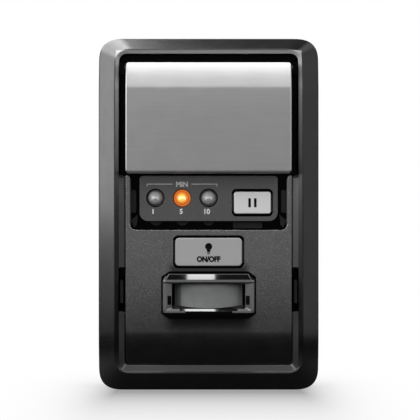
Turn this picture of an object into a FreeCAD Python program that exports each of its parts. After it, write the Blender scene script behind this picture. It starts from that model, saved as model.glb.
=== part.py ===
"""A wall control with a motion sensor, as a parametric document of separate pieces.

Millimetres. +X is right and +Z is up as one faces the control. The wall is the plane y = 0,
so a depth in front of the wall is minus y. The origin is the middle of the back face.
"""

import FreeCAD, Part
import math
import os

import Sketcher

SIZES = {
    # Outer frame, seen from the front
    "frame_width": 74.0,
    "frame_height": 118.7,
    "frame_corner": 6.5,
    "frame_wall": 1.8,
    "frame_back": 1.0,
    "edge_depth": 10.0,
    # The ridge round the front and how its two ends lean back to the wall
    "ridge_depth": 19.0,
    "side_band": 5.53,
    "top_band": 4.05,
    "bottom_band": 6.25,
    "ridge_corner": 4.8,
    "ridge_land": 0.3,
    "top_lean_reach": 17.35,
    "bottom_lean_reach": 15.85,
    "lean_angle": 17.0,
    # The bevels inside the ridge and the opening that they lead to
    "bevel_drop": 1.2,
    "bevel_side": 1.53,
    "bevel_top": 1.54,
    "bevel_foot": 0.5,
    "opening_corner": 2.6,
    "ring_drop": 1.2,
    "ring_side": 1.84,
    "ring_foot": 2.2,
    "ring_above_cover": 0.2,
    "ring_corner": 1.4,
    "ledge_inset": 2.1,
    "ledge_thickness": 1.8,
    "skirt_wall": 1.76,
    "skirt_back": 3.0,
    "hollow_depth": 7.2,
    # Rear housing
    "housing_gap": 0.2,
    "housing_floor": 2.0,
    "housing_wall": 1.6,
    "housing_rim": 7.0,
    # Wall screws and the way in for the wires
    "screw_spacing": 83.3,
    "screw_hole_radius": 2.2,
    "screw_pad_radius": 5.0,
    "screw_pad_height": 1.0,
    "driver_hole_radius": 4.5,
    "keyhole_drop": 7.0,
    "keyhole_entry_radius": 4.2,
    "wire_window_width": 30.0,
    "wire_window_height": 20.0,
    "wire_window_z": -14.0,
    # Circuit board
    "board_side_gap": 0.2,
    "board_top_gap": 2.76,
    "board_foot_gap": 3.4,
    "board_back": 4.5,
    "board_thickness": 1.6,
    "board_screw_inset": 3.4,
    "board_screw_drop": 17.0,
    "board_screw_rise": 11.0,
    "board_post_radius": 2.6,
    "board_screw_radius": 1.2,
    "board_screw_head": 2.4,
    "board_screw_head_height": 1.5,
    # Inner chassis
    "chassis_gap": 0.3,
    "chassis_back": 8.0,
    "chassis_floor": 1.5,
    "chassis_foot_gap": 1.0,
    "chassis_screw_inset": 5.9,
    "chassis_screw_drop": 4.0,
    "chassis_screw_rise": 6.0,
    "chassis_post_radius": 2.6,
    "chassis_screw_head": 2.5,
    "chassis_screw_head_height": 1.5,
    "screw_head_taper": 0.7,
    # Cover plate and its recess
    "cover_drop": 2.5,
    "cover_thickness": 1.8,
    "cover_gap": 0.3,
    "cover_top": 13.0,
    "cover_corner": 1.2,
    "recess_side": 1.8,
    "recess_bottom": 5.2,
    "recess_corner": 2.2,
    "recess_wall": 1.5,
    # Timer panel
    "panel_set_back": 0.2,
    "panel_side_gap": 3.2,
    "panel_top_gap": 0.1,
    "panel_foot_gap": 2.9,
    "panel_corner": 2.8,
    "panel_face": 1.5,
    "panel_wall": 0.9,
    # Indicator lamps
    "lamp_inset": 5.3,
    "lamp_z": 5.44,
    "lamp_radius": 2.4,
    "lamp_flange_radius": 2.85,
    "lamp_flange_height": 1.0,
    "lamp_proud": 1.5,
    "lamp_well_radius": 3.1,
    "spacer_height": 2.1,
    "spacer_radius": 2.9,
    "spacer_bore": 1.7,
    "lead_radius": 0.25,
    "lead_offset": 1.27,
    "lead_stub": 0.9,
    # Hold button
    "hold_inset": 8.46,
    "hold_z": 3.87,
    "hold_width": 12.3,
    "hold_height": 7.35,
    "hold_corner": 0.85,
    "hold_proud": 0.9,
    "hold_side_gap": 0.75,
    "hold_end_gap": 0.92,
    # Light button
    "light_z": -12.56,
    "light_width": 22.25,
    "light_height": 9.37,
    "light_corner": 1.3,
    "light_proud": 0.9,
    "light_gap": 0.7,
    # What both front buttons share
    "button_edge": 0.35,
    "button_body": 3.0,
    "light_tab_reach": 1.7,
    "hold_tab_reach": 0.5,
    "learn_lip": 0.85,
    "tab_thickness": 0.9,
    "tab_play": 0.3,
    "tab_inset": 0.9,
    "stem_radius": 1.7,
    "stem_hole_gap": 0.9,
    # Rubber domes under every button
    "dome_height": 1.6,
    "dome_radius": 3.0,
    "dome_top_radius": 1.7,
    "dome_wall": 0.5,
    "dome_gap": 0.2,
    # Learn button, under the push bar
    "learn_x": -11.0,
    "learn_z": 31.0,
    "learn_radius": 2.8,
    "learn_front": 10.7,
    "learn_gap": 0.25,
    "learn_flange": 0.8,
    # Push bar and its hinge
    "bar_side_inset": 0.6,
    "bar_top_gap": 3.16,
    "bar_foot_gap": 0.6,
    "bar_proud": 4.0,
    "bar_top_drop": 3.8,
    "bar_back": 12.0,
    "bar_back_step": 2.2,
    "bar_wall": 2.0,
    "bar_edge": 1.0,
    "bar_foot_edge": 1.6,
    "hinge_drop": 2.1,
    "hinge_set_back": 1.5,
    "pin_radius": 1.0,
    "pin_fit": 0.06,
    "ear_thickness": 1.6,
    "ear_gap": 0.5,
    "ear_radius": 1.9,
    "bar_stem_z": 22.0,
    "bar_stem_radius": 2.0,
    # Sensor housing, lens and sensor
    "sensor_z": -27.0,
    "sensor_width": 30.8,
    "sensor_height": 15.1,
    "sensor_chamfer_x": 2.4,
    "sensor_chamfer_z": 1.7,
    "sensor_gap": 0.2,
    "hood_proud": 7.0,
    "hood_slope_side": 1.0,
    "hood_slope_end": 1.75,
    "sensor_rim": 1.25,
    "sensor_rim_end": 1.0,
    "rim_chamfer": 0.2,
    "lens_side": 3.2,
    "lens_end": 0.9,
    "lens_radius": 16.5,
    "lens_set_back": 1.7,
    "lens_thickness": 0.9,
    "lens_gap": 0.15,
    "catch_window_height": 3.3,
    "catch_window_reach": 3.0,
    "catch_window_lip": 1.0,
    "can_radius": 4.1,
    "can_flange_radius": 4.6,
    "can_height": 4.2,
    "can_flange_height": 0.45,
    "window_width": 4.0,
    "window_height": 3.0,
    "window_thickness": 0.15,
    # Latches seen through the pockets beside the cover
    "pocket_top": -18.1,
    "pocket_bottom": -32.4,
    "latch_top": -21.9,
    "latch_bottom": -29.7,
    "latch_thickness": 1.1,
    "latch_inset": 0.35,
    "latch_set_back": 3.8,
    # Wire terminals
    "block_width": 21.0,
    "block_height": 9.0,
    "block_z": -18.6,
    "block_depth": 2.2,
    "terminal_pitch": 10.0,
    "terminal_plate": 7.0,
    "terminal_plate_thickness": 0.6,
    "terminal_head_radius": 2.8,
    "terminal_head_height": 1.3,
    # Parts on the board
    "chip_size": 7.0,
    "chip_height": 1.2,
    "chip_x": 13.0,
    "chip_z": 30.0,
    "capacitor_radius": 3.15,
    "capacitor_height": 6.6,
    "capacitor_x": -13.0,
    "capacitor_z": -40.0,
    "capacitor_gap": 0.7,
    "resistor_length": 2.0,
    "resistor_width": 1.25,
    "resistor_height": 0.6,
    "resistor_pitch_x": 4.0,
    "resistor_pitch_z": 2.0,
    "diode_length": 4.3,
    "diode_width": 2.6,
    "diode_height": 1.5,
    "diode_offset": 7.6,
    "diode_pitch": 4.2,
    "crystal_length": 5.0,
    "crystal_width": 3.2,
    "crystal_height": 1.1,
    "locator_lamp_x": 7.4,
}

# Sizes that follow from others, as formulas in the sheet
TIED = {
    "panel_front": "=ridge_depth - cover_drop - cover_thickness - panel_set_back",
    "lamp_tip": "=panel_front + lamp_proud",
    "hold_front": "=panel_front + hold_proud",
    "light_front": "=ridge_depth - cover_drop + light_proud",
    "bar_front": "=ridge_depth + bar_proud",
    "hinge_depth": "=ridge_depth - hinge_set_back",
    "sensor_front": "=ridge_depth + hood_proud",
    "lens_front": "=sensor_front - lens_set_back",
    "latch_front": "=ridge_depth - latch_set_back",
    "bend_top": "=frame_height / 2 - top_lean_reach",
    "bend_bottom": "=frame_height / 2 - bottom_lean_reach",
    "ridge_width": "=frame_width - 2 * side_band",
    "ridge_top": "=frame_height / 2 - top_band",
    "ridge_bottom": "=frame_height / 2 - bottom_band",
    "opening_width": "=ridge_width - 2 * bevel_side",
    "opening_top": "=ridge_top - bevel_top",
    "opening_bottom": "=ridge_bottom - bevel_foot",
    "ring_width": "=opening_width - 2 * ring_side",
    "ring_bottom": "=opening_bottom - ring_foot",
    "ring_top": "=cover_top + ring_above_cover",
    "board_width": "=ring_width - 2 * board_side_gap",
    "board_top": "=opening_top - board_top_gap",
    "board_bottom": "=ring_bottom - board_foot_gap",
    "board_screw_x": "=board_width / 2 - board_screw_inset",
    "board_screw_top": "=board_top - board_screw_drop",
    "board_screw_bottom": "=board_bottom - board_screw_rise",
    "chassis_bottom": "=ring_bottom - chassis_foot_gap",
    "chassis_screw_x": "=board_width / 2 - chassis_screw_inset",
    "chassis_screw_top": "=board_top - chassis_screw_drop",
    "chassis_screw_bottom": "=board_bottom - chassis_screw_rise",
    "recess_width": "=ring_width - 2 * recess_side",
    "panel_width": "=recess_width - 2 * panel_side_gap",
    "panel_top": "=cover_top - panel_top_gap",
    "panel_bottom": "=recess_bottom - panel_foot_gap",
    "lamp_pitch": "=(panel_width / 2 - lamp_inset) / 2",
    "hold_x": "=panel_width / 2 - hold_inset",
    "bar_width": "=ring_width - 2 * bar_side_inset",
    "bar_top": "=opening_top - bar_top_gap",
    "bar_bottom": "=cover_top + bar_foot_gap",
    "bar_top_front": "=bar_front - bar_top_drop",
    "bar_bend": "=bend_top",
    "bar_top_back": "=bar_back + bar_back_step",
    "hinge_z": "=bar_top - hinge_drop",
    "sensor_rim_width": "=sensor_width - 2 * hood_slope_side",
    "sensor_rim_height": "=sensor_height - 2 * hood_slope_end",
    "lens_width": "=sensor_rim_width - 2 * lens_side",
    "lens_height": "=sensor_rim_height - 2 * lens_end",
}

doc = FreeCAD.newDocument("WallControl")
sheet = doc.addObject("Spreadsheet::Sheet", "Sizes")
CELLS = {**SIZES, **TIED}
for row, alias in enumerate(CELLS, start=1):
    sheet.set(f"A{row}", alias)
    sheet.setAlias(f"B{row}", alias)
for row, entry in enumerate(CELLS.values(), start=1):
    sheet.set(f"B{row}", str(entry))
doc.recompute()


class Size:
    """A length: the formula that the document keeps, and the number that it comes to."""

    def __init__(self, formula, number):
        self.formula = formula
        self.number = number

    def __add__(self, other):
        other = as_size(other)
        return Size(f"({self.formula} + {other.formula})", self.number + other.number)

    def __sub__(self, other):
        other = as_size(other)
        return Size(f"({self.formula} - {other.formula})", self.number - other.number)

    def __mul__(self, other):
        other = as_size(other)
        return Size(f"({self.formula} * {other.formula})", self.number * other.number)

    def __truediv__(self, other):
        other = as_size(other)
        return Size(f"({self.formula} / {other.formula})", self.number / other.number)

    def __neg__(self):
        return Size(f"(0 - {self.formula})", -self.number)

    def __rmul__(self, other):
        return as_size(other) * self

    def __radd__(self, other):
        return as_size(other) + self

    def __rsub__(self, other):
        return as_size(other) - self


class Cells:
    """Gives each cell of the sheet by its alias."""

    def __getattr__(self, alias):
        return Size(f"Sizes.{alias}", float(sheet.get(alias)))


def as_size(value):
    """Take a bare number as a size too."""
    return value if isinstance(value, Size) else Size(repr(float(value)), float(value))


c = Cells()


def bind(item, prop, value):
    """Give a property its formula."""
    item.setExpression(prop, as_size(value).formula)


def place(item, x, depth, z, tip=0):
    """Put an item at x, a depth in front of the wall, and z, turned about X by tip degrees."""
    item.Placement = FreeCAD.Placement(
        FreeCAD.Vector(as_size(x).number, -as_size(depth).number, as_size(z).number),
        FreeCAD.Rotation(FreeCAD.Vector(1, 0, 0), tip),
    )
    bind(item, "Placement.Base.x", x)
    bind(item, "Placement.Base.y", -as_size(depth))
    bind(item, "Placement.Base.z", z)


def box(name, x, z, back, front, width, height):
    """A block with its middle at x, z, from one depth to another."""
    item = doc.addObject("Part::Box", name)
    bind(item, "Length", width)
    bind(item, "Width", as_size(front) - back)
    bind(item, "Height", height)
    place(item, as_size(x) - as_size(width) / 2, front, as_size(z) - as_size(height) / 2)
    return item


def rod(name, x, z, back, front, radius):
    """A round bar that stands out from the wall."""
    item = doc.addObject("Part::Cylinder", name)
    bind(item, "Radius", radius)
    bind(item, "Height", as_size(front) - back)
    place(item, x, back, z, 90)
    return item


def cone(name, x, z, back, front, back_radius, front_radius):
    """A round bar whose radius changes on its way out from the wall."""
    item = doc.addObject("Part::Cone", name)
    bind(item, "Radius1", back_radius)
    bind(item, "Radius2", front_radius)
    bind(item, "Height", as_size(front) - back)
    place(item, x, back, z, 90)
    return item


def cross_rod(name, x, depth, z, length, radius):
    """A round bar along X that starts at x."""
    item = doc.addObject("Part::Cylinder", name)
    bind(item, "Radius", radius)
    bind(item, "Height", length)
    place(item, x, depth, z)
    item.Placement.Rotation = FreeCAD.Rotation(FreeCAD.Vector(0, 1, 0), 90)
    return item


def outline(sketch, width, height, corner):
    """Draw a rectangle with round corners about the sketch's own origin."""
    half_w, half_h, r = width.number / 2, height.number / 2, corner.number
    inner_w, inner_h = half_w - r, half_h - r
    vec = FreeCAD.Vector
    sides = [
        (vec(-inner_w, -half_h), vec(inner_w, -half_h)),
        (vec(half_w, -inner_h), vec(half_w, inner_h)),
        (vec(inner_w, half_h), vec(-inner_w, half_h)),
        (vec(-half_w, inner_h), vec(-half_w, -inner_h)),
    ]
    centres = [vec(inner_w, -inner_h), vec(inner_w, inner_h), vec(-inner_w, inner_h), vec(-inner_w, -inner_h)]
    lines = [sketch.addGeometry(Part.LineSegment(*ends)) for ends in sides]
    arcs = []
    for turn, centre in enumerate(centres):
        start = math.radians(-90 + 90 * turn)
        circle = Part.Circle(centre, vec(0, 0, 1), r)
        arcs.append(sketch.addGeometry(Part.ArcOfCircle(circle, start, start + math.pi / 2)))
    for turn in range(4):
        after = (turn + 1) % 4
        sketch.addConstraint(Sketcher.Constraint("Tangent", lines[turn], 2, arcs[turn], 1))
        sketch.addConstraint(Sketcher.Constraint("Tangent", arcs[turn], 2, lines[after], 1))
    sketch.addConstraint(Sketcher.Constraint("Horizontal", lines[0]))
    sketch.addConstraint(Sketcher.Constraint("Vertical", lines[1]))
    sketch.addConstraint(Sketcher.Constraint("Horizontal", lines[2]))
    for turn in range(1, 4):
        sketch.addConstraint(Sketcher.Constraint("Equal", arcs[0], arcs[turn]))
    sketch.addConstraint(Sketcher.Constraint("Symmetric", lines[0], 1, lines[2], 1, -1, 1))
    named = [
        ("corner", Sketcher.Constraint("Radius", arcs[0], r), corner),
        ("width", Sketcher.Constraint("DistanceX", lines[3], 1, lines[1], 1, 2 * half_w), width),
        ("height", Sketcher.Constraint("DistanceY", lines[0], 1, lines[2], 1, 2 * half_h), height),
    ]
    for name, constraint, value in named:
        index = sketch.addConstraint(constraint)
        sketch.renameConstraint(index, name)
        bind(sketch, f"Constraints.{name}", value)


class Moulding:
    """A piece made as a body, by pads and pockets of outlines that lie parallel to the wall."""

    def __init__(self, name):
        self.name = name
        self.count = 0
        self.body = doc.addObject("PartDesign::Body", name)
        planes = self.body.Origin.OriginFeatures
        self.front_plane = next(plane for plane in planes if plane.Role == "XZ_Plane")

    def _sketch(self, x, z, depth):
        """Start an empty sketch at x, z and a depth."""
        self.count += 1
        sketch = self.body.newObject("Sketcher::SketchObject", f"{self.name}_sketch_{self.count}")
        sketch.AttachmentSupport = [(self.front_plane, "")]
        sketch.MapMode = "FlatFace"
        bind(sketch, "AttachmentOffset.Base.x", x)
        bind(sketch, "AttachmentOffset.Base.y", z)
        bind(sketch, "AttachmentOffset.Base.z", depth)
        return sketch

    def _feature(self, kind, sketch, length):
        """Pad a sketch out from the wall, or pocket it back towards the wall."""
        feature = self.body.newObject(f"PartDesign::{kind}", f"{self.name}_{kind}_{self.count}")
        feature.Profile = sketch
        bind(feature, "Length", length)
        return feature

    def pad(self, x, z, back, front, width, height, corner):
        """Add a block with round corners."""
        sketch = self._sketch(x, z, back)
        outline(sketch, as_size(width), as_size(height), as_size(corner))
        return self._feature("Pad", sketch, as_size(front) - back)

    def pocket(self, x, z, back, front, width, height, corner):
        """Cut a block with round corners."""
        sketch = self._sketch(x, z, front)
        outline(sketch, as_size(width), as_size(height), as_size(corner))
        return self._feature("Pocket", sketch, as_size(front) - back)

    def _circle(self, x, z, depth, radius):
        """Draw one circle in a sketch of its own."""
        sketch = self._sketch(x, z, depth)
        middle = FreeCAD.Vector(0, 0, 0)
        sketch.addGeometry(Part.Circle(middle, FreeCAD.Vector(0, 0, 1), as_size(radius).number))
        sketch.addConstraint(Sketcher.Constraint("Coincident", 0, 3, -1, 1))
        index = sketch.addConstraint(Sketcher.Constraint("Radius", 0, as_size(radius).number))
        sketch.renameConstraint(index, "radius")
        bind(sketch, "Constraints.radius", radius)
        return sketch

    def post(self, x, z, back, front, radius):
        """Add a round post."""
        return self._feature("Pad", self._circle(x, z, back, radius), as_size(front) - back)

    def hole(self, x, z, back, front, radius):
        """Cut a round hole."""
        return self._feature("Pocket", self._circle(x, z, front, radius), as_size(front) - back)

    def soften(self, radius, wanted):
        """Round the edges of the last shape for which wanted is true."""
        doc.recompute()
        tip = self.body.Tip
        edges = [f"Edge{n}" for n, edge in enumerate(tip.Shape.Edges, start=1) if wanted(edge)]
        feature = self.body.newObject("PartDesign::Fillet", f"{self.name}_Fillet_{self.count}")
        feature.Base = (tip, edges)
        bind(feature, "Radius", radius)
        return feature


def joined(name, items):
    """One solid from several that overlap or touch."""
    item = doc.addObject("Part::MultiFuse", name)
    item.Shapes = items
    item.Refine = True
    return item


def cut_from(name, base, tools):
    """A base with tools taken out of it."""
    item = doc.addObject("Part::Cut", name)
    item.Base = base
    item.Tool = tools[0] if len(tools) == 1 else joined(f"{name}_tools", tools)
    item.Refine = True
    return item


def group(name, items):
    """Several like pieces kept as separate solids under one name."""
    item = doc.addObject("Part::Compound", name)
    item.Links = items
    return item


def at_depth(edge, depth, slack=0.01):
    """True for an edge that lies wholly at one depth."""
    return all(abs(-vertex.Point.y - depth.number) < slack for vertex in edge.Vertexes)


# Shared places worked out from the sizes

cover_front = c.ridge_depth - c.cover_drop
cover_back = cover_front - c.cover_thickness
board_front = c.board_back + c.board_thickness
chassis_front = c.chassis_back + c.chassis_floor
dome_top = board_front + c.dome_height
stem_tip = dome_top + c.dome_gap
panel_back = c.panel_front - c.panel_face
screw_top_z = c.screw_spacing / 2
keyhole_seat_z = -c.screw_spacing / 2
lamp_xs = [-c.lamp_pitch * 2, -c.lamp_pitch, c.lamp_pitch * 0]
board_screw_places = [
    (side * c.board_screw_x, height)
    for side in (-1, 1)
    for height in (c.board_screw_top, -c.board_screw_bottom)
]
chassis_screw_places = [
    (side * c.chassis_screw_x, height)
    for side in (-1, 1)
    for height in (c.chassis_screw_top, -c.chassis_screw_bottom)
]


# Outer frame: one moulded shell whose top and bottom ends lean back to the wall

def lean():
    """The angle of the leaning ends, in radians."""
    return math.radians(c.lean_angle.number)


def end_wire(half_width, reach, corner, depth, side):
    """An arch in the plane that leans back from a bend, from the bend to the reach."""
    bend = c.bend_top.number if side > 0 else c.bend_bottom.number
    run = (reach - bend) / math.cos(lean())

    def point(x, along):
        return FreeCAD.Vector(x, along * math.sin(lean()) - depth, side * (bend + along * math.cos(lean())))

    bow = corner * (1 - math.sqrt(0.5))
    left, right = -half_width, half_width
    edges = [
        Part.LineSegment(point(left, 0), point(left, run - corner)).toShape(),
        Part.Arc(point(left, run - corner), point(left + bow, run - bow), point(left + corner, run)).toShape(),
        Part.LineSegment(point(left + corner, run), point(right - corner, run)).toShape(),
        Part.Arc(point(right - corner, run), point(right - bow, run - bow), point(right, run - corner)).toShape(),
        Part.LineSegment(point(right, run - corner), point(right, 0)).toShape(),
        Part.LineSegment(point(right, 0), point(left, 0)).toShape(),
    ]
    return Part.Wire(edges)


def middle_prism(section):
    """The straight stretch between the two bends, from half widths and depths."""
    bottom = -c.bend_bottom.number
    right = [FreeCAD.Vector(half, -depth, bottom) for half, depth in section]
    left = [FreeCAD.Vector(-half, -depth, bottom) for half, depth in reversed(section)]
    ring = right + left
    face = Part.Face(Part.makePolygon(ring + ring[:1]))
    return face.extrude(FreeCAD.Vector(0, 0, c.bend_top.number + c.bend_bottom.number))


def layer(lower, upper):
    """The solid between two outlines, each a half width, top, bottom, corner and depth."""
    solid = middle_prism([(lower[0], lower[4]), (upper[0], upper[4])])
    for side, reach in ((1, 1), (-1, 2)):
        pair = [end_wire(half[0], half[reach], half[3], half[4], side) for half in (lower, upper)]
        solid = solid.fuse(Part.makeLoft(pair, True, True))
    return solid


def column(shape, back, front):
    """The solid that one outline sweeps straight out from the wall, between two offsets of its depth."""
    half, top, bottom, corner, depth = shape
    solid = middle_prism([(half, depth + back), (half, depth + front)])
    for side, reach in ((1, top), (-1, bottom)):
        wire = end_wire(half, reach, corner, depth + back, side)
        solid = solid.fuse(Part.Face(wire).extrude(FreeCAD.Vector(0, back - front, 0)))
    return solid


def block(half_width, back, front, bottom, top):
    """A plain block about the middle line."""
    corner = FreeCAD.Vector(-half_width, -front, bottom)
    return Part.makeBox(2 * half_width, front - back, top - bottom, corner)


def rounded_block(half_width, back, front, bottom, top, corner):
    """A block about the middle line whose four long edges, square to the wall, are round."""
    solid = block(half_width, back, front, bottom, top)
    upright = [edge for edge in solid.Edges if abs(edge.tangentAt(edge.FirstParameter).y) > 0.9]
    return solid.makeFillet(corner, upright)


def make_outer_frame():
    """The frame's shape: sloping band, ridge, two bevels, ledge, skirt and latch pockets."""
    n = {alias: float(sheet.get(alias)) for alias in CELLS}
    half = n["frame_width"] / 2
    tall = n["frame_height"] / 2
    far = 40.0
    spare = 2.0
    edge = (half, tall, tall, n["frame_corner"], n["edge_depth"])
    ridge = (n["ridge_width"] / 2, n["ridge_top"], n["ridge_bottom"], n["ridge_corner"], n["ridge_depth"])
    lip = (
        ridge[0] - n["ridge_land"],
        ridge[1] - n["ridge_land"],
        ridge[2] - n["ridge_land"] / 2,
        ridge[3] - n["ridge_land"],
        ridge[4],
    )
    opening_depth = n["ridge_depth"] - n["bevel_drop"]
    opening = (
        n["opening_width"] / 2, n["opening_top"], n["opening_bottom"], n["opening_corner"], opening_depth,
    )
    ring_depth = opening_depth - n["ring_drop"]
    ring = (n["ring_width"] / 2, n["opening_top"], n["ring_bottom"], n["ring_corner"], ring_depth)
    seat_depth = n["ridge_depth"] - n["cover_drop"] - n["cover_thickness"]

    # The whole outside, down to the back edge
    solid = column(edge, n["frame_back"] - n["edge_depth"] - spare, 0).fuse(layer(edge, ridge))
    solid = solid.cut(block(far * 2, -far, n["frame_back"], -far * 2, far * 2))

    # The hollow behind the band, with the skirt round the opening left standing in it
    inner = half - n["frame_wall"]
    inner_tall = tall - n["frame_wall"]
    inner_corner = n["frame_corner"] - n["frame_wall"]
    hollow = rounded_block(inner, -spare, n["hollow_depth"], -inner_tall, inner_tall, inner_corner)
    skirt_half = opening[0] + n["skirt_wall"]
    skirt_corner = n["opening_corner"] + n["skirt_wall"]
    skirt_bottom = -n["opening_bottom"] - n["skirt_wall"]
    skirt_top = n["opening_top"] + n["skirt_wall"]
    skirt = rounded_block(
        skirt_half, n["skirt_back"], n["hollow_depth"] + spare, skirt_bottom, skirt_top, skirt_corner
    )
    solid = solid.cut(hollow).fuse(skirt)

    # The first bevel, all the way round
    solid = solid.cut(layer(opening, lip))

    # Behind the push bar the opening goes straight through
    ring_top = n["ring_top"]
    lower_half = block(far, -far, far, -far * 2, ring_top)
    solid = solid.cut(column(opening, -far, 0).cut(lower_half))

    # Below it, the second bevel leads down to the seat of the cover, which rests on a ledge
    ring_cut = layer(ring, opening).common(lower_half)
    seat_cut = column(ring, seat_depth - ring_depth, 0).common(lower_half)
    ledge_half = ring[0] - n["ledge_inset"]
    ledge_bottom = -(n["ring_bottom"] - n["ledge_inset"])
    through = block(ledge_half, -spare, far, ledge_bottom, ring_top)
    behind = block(opening[0], -spare, seat_depth - n["ledge_thickness"], -n["opening_bottom"], ring_top)
    chassis_wall_room = block(
        opening[0], -spare, seat_depth, -(n["recess_bottom"] + n["recess_wall"] + n["cover_gap"]), ring_top
    )
    for tool in (ring_cut, seat_cut, through, behind, chassis_wall_room):
        solid = solid.cut(tool)

    # A latch pocket on each side
    pocket = block(opening[0], -spare, far, n["pocket_bottom"], n["pocket_top"])
    solid = solid.cut(pocket)
    return solid.removeSplitter()


frame = doc.addObject("Part::Feature", "bezel_frame")
frame.Shape = make_outer_frame()
frame.Placement = FreeCAD.Placement()


# Rear housing: a shallow tray against the wall that everything is screwed to

housing_width = c.frame_width - 2 * (c.frame_wall + c.housing_gap)
housing_height = c.frame_height - 2 * (c.frame_wall + c.housing_gap)
housing_corner = c.frame_corner - c.frame_wall - c.housing_gap
housing = Moulding("rear_housing")
housing.pad(0, 0, 0, c.housing_rim, housing_width, housing_height, housing_corner)
housing.pocket(
    0, 0, c.housing_floor, c.housing_rim,
    housing_width - 2 * c.housing_wall, housing_height - 2 * c.housing_wall, housing_corner - c.housing_wall,
)
housing.post(0, screw_top_z, c.housing_floor, c.housing_floor + c.screw_pad_height, c.screw_pad_radius)
for x, z in board_screw_places:
    housing.post(x, z, c.housing_floor, c.board_back, c.board_post_radius)
for x, z in chassis_screw_places:
    housing.post(x, z, c.housing_floor, c.chassis_back, c.chassis_post_radius)
latch_outer = c.opening_width / 2 - c.latch_inset
latch_middle = latch_outer - c.latch_thickness / 2
latch_z = (c.latch_top + c.latch_bottom) / 2
for side in (-1, 1):
    housing.pad(
        side * latch_middle, latch_z, c.housing_floor, c.latch_front,
        c.latch_thickness, c.latch_top - c.latch_bottom, c.latch_thickness / 4,
    )
housing.hole(0, screw_top_z, 0, c.housing_floor + c.screw_pad_height, c.screw_hole_radius)
housing.hole(0, keyhole_seat_z - c.keyhole_drop, 0, c.housing_floor, c.keyhole_entry_radius)
housing.hole(0, keyhole_seat_z, 0, c.housing_floor, c.screw_hole_radius)
housing.pocket(
    0, keyhole_seat_z - c.keyhole_drop / 2, 0, c.housing_floor,
    2 * c.screw_hole_radius, c.keyhole_drop, c.screw_hole_radius / 4,
)
housing.pocket(
    0, c.wire_window_z, 0, c.housing_floor,
    c.wire_window_width, c.wire_window_height, c.housing_wall,
)
for x, z in board_screw_places:
    housing.hole(x, z, c.housing_floor, c.board_back, c.board_screw_radius)
for x, z in chassis_screw_places:
    housing.hole(x, z, c.housing_floor, c.chassis_back, c.board_screw_radius)


# Circuit board, with a hole for each post and for the wall screw

board_height = c.board_top + c.board_bottom
board_z = (c.board_top - c.board_bottom) / 2
board = Moulding("circuit_board")
board.pad(0, board_z, c.board_back, board_front, c.board_width, board_height, c.cover_corner)
board.hole(0, screw_top_z, c.board_back, board_front, c.driver_hole_radius)
for x, z in board_screw_places:
    board.hole(x, z, c.board_back, board_front, c.board_screw_radius)
for x, z in chassis_screw_places:
    board.hole(x, z, c.board_back, board_front, c.chassis_post_radius + c.chassis_gap)
for x in lamp_xs:
    for side in (-1, 1):
        board.hole(x + side * c.lead_offset, c.lamp_z, c.board_back, board_front, c.lead_radius)

screws = []
for number, (x, z) in enumerate(board_screw_places):
    shank = rod(f"board_screw_shank_{number}", x, z, c.housing_floor + c.tab_play, board_front, c.board_screw_radius)
    head = cone(
        f"board_screw_head_{number}", x, z, board_front, board_front + c.board_screw_head_height,
        c.board_screw_head, c.board_screw_head - c.screw_head_taper,
    )
    screws.append(joined(f"board_screw_{number}", [shank, head]))
group("board_screws", screws)


# Inner chassis: the black moulding behind the cover, with the hinge ears of the push bar

chassis_width = c.opening_width - 2 * c.chassis_gap
chassis_top = c.opening_top - c.chassis_gap
chassis_height = chassis_top + c.chassis_bottom
chassis_z = (chassis_top - c.chassis_bottom) / 2
recess_height = c.cover_top + c.recess_bottom
stem_hole = c.stem_radius + c.stem_hole_gap
sensor_well_width = c.lens_width + 2 * c.lens_gap
sensor_well_height = c.lens_height + 2 * c.lens_gap
chassis = Moulding("inner_chassis")
chassis.pad(
    0, chassis_z, c.chassis_back, chassis_front, chassis_width, chassis_height,
    c.opening_corner - c.chassis_gap,
)
chassis.pad(
    0, c.cover_top - (recess_height + c.recess_wall) / 2, chassis_front, cover_back,
    c.recess_width + 2 * c.recess_wall, recess_height + c.recess_wall, c.recess_corner / 2,
)
# The recess is open at its top, so its cutter reaches one corner radius past it
chassis.pocket(
    0, c.cover_top + c.recess_corner - (recess_height + c.recess_corner) / 2, chassis_front, cover_back,
    c.recess_width, recess_height + c.recess_corner, c.recess_corner,
)
ear_middle = c.bar_width / 2 + c.ear_gap + c.ear_thickness / 2
for side in (-1, 1):
    chassis.pad(
        side * ear_middle, c.hinge_z, chassis_front, c.hinge_depth + c.ear_radius,
        c.ear_thickness, 2 * c.ear_radius, c.ear_thickness / 4,
    )
chassis.hole(0, screw_top_z, c.chassis_back, chassis_front, c.driver_hole_radius)
for x, z in chassis_screw_places:
    chassis.hole(x, z, c.chassis_back, chassis_front, c.board_screw_radius)
for x in lamp_xs:
    chassis.hole(x, c.lamp_z, c.chassis_back, chassis_front, c.lamp_well_radius)
chassis.hole(c.hold_x, c.hold_z, c.chassis_back, chassis_front, stem_hole)
chassis.hole(0, c.light_z, c.chassis_back, chassis_front, stem_hole)
chassis.hole(0, c.bar_stem_z, c.chassis_back, chassis_front, c.bar_stem_radius + c.stem_hole_gap)
chassis.hole(c.learn_x, c.learn_z, c.chassis_back, chassis_front, c.learn_radius + c.learn_gap)
chassis.hole(
    c.capacitor_x, c.capacitor_z, c.chassis_back, chassis_front, c.capacitor_radius + c.capacitor_gap
)
chassis.pocket(
    0, c.sensor_z, c.chassis_back, chassis_front,
    sensor_well_width, sensor_well_height, c.cover_corner,
)
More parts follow.
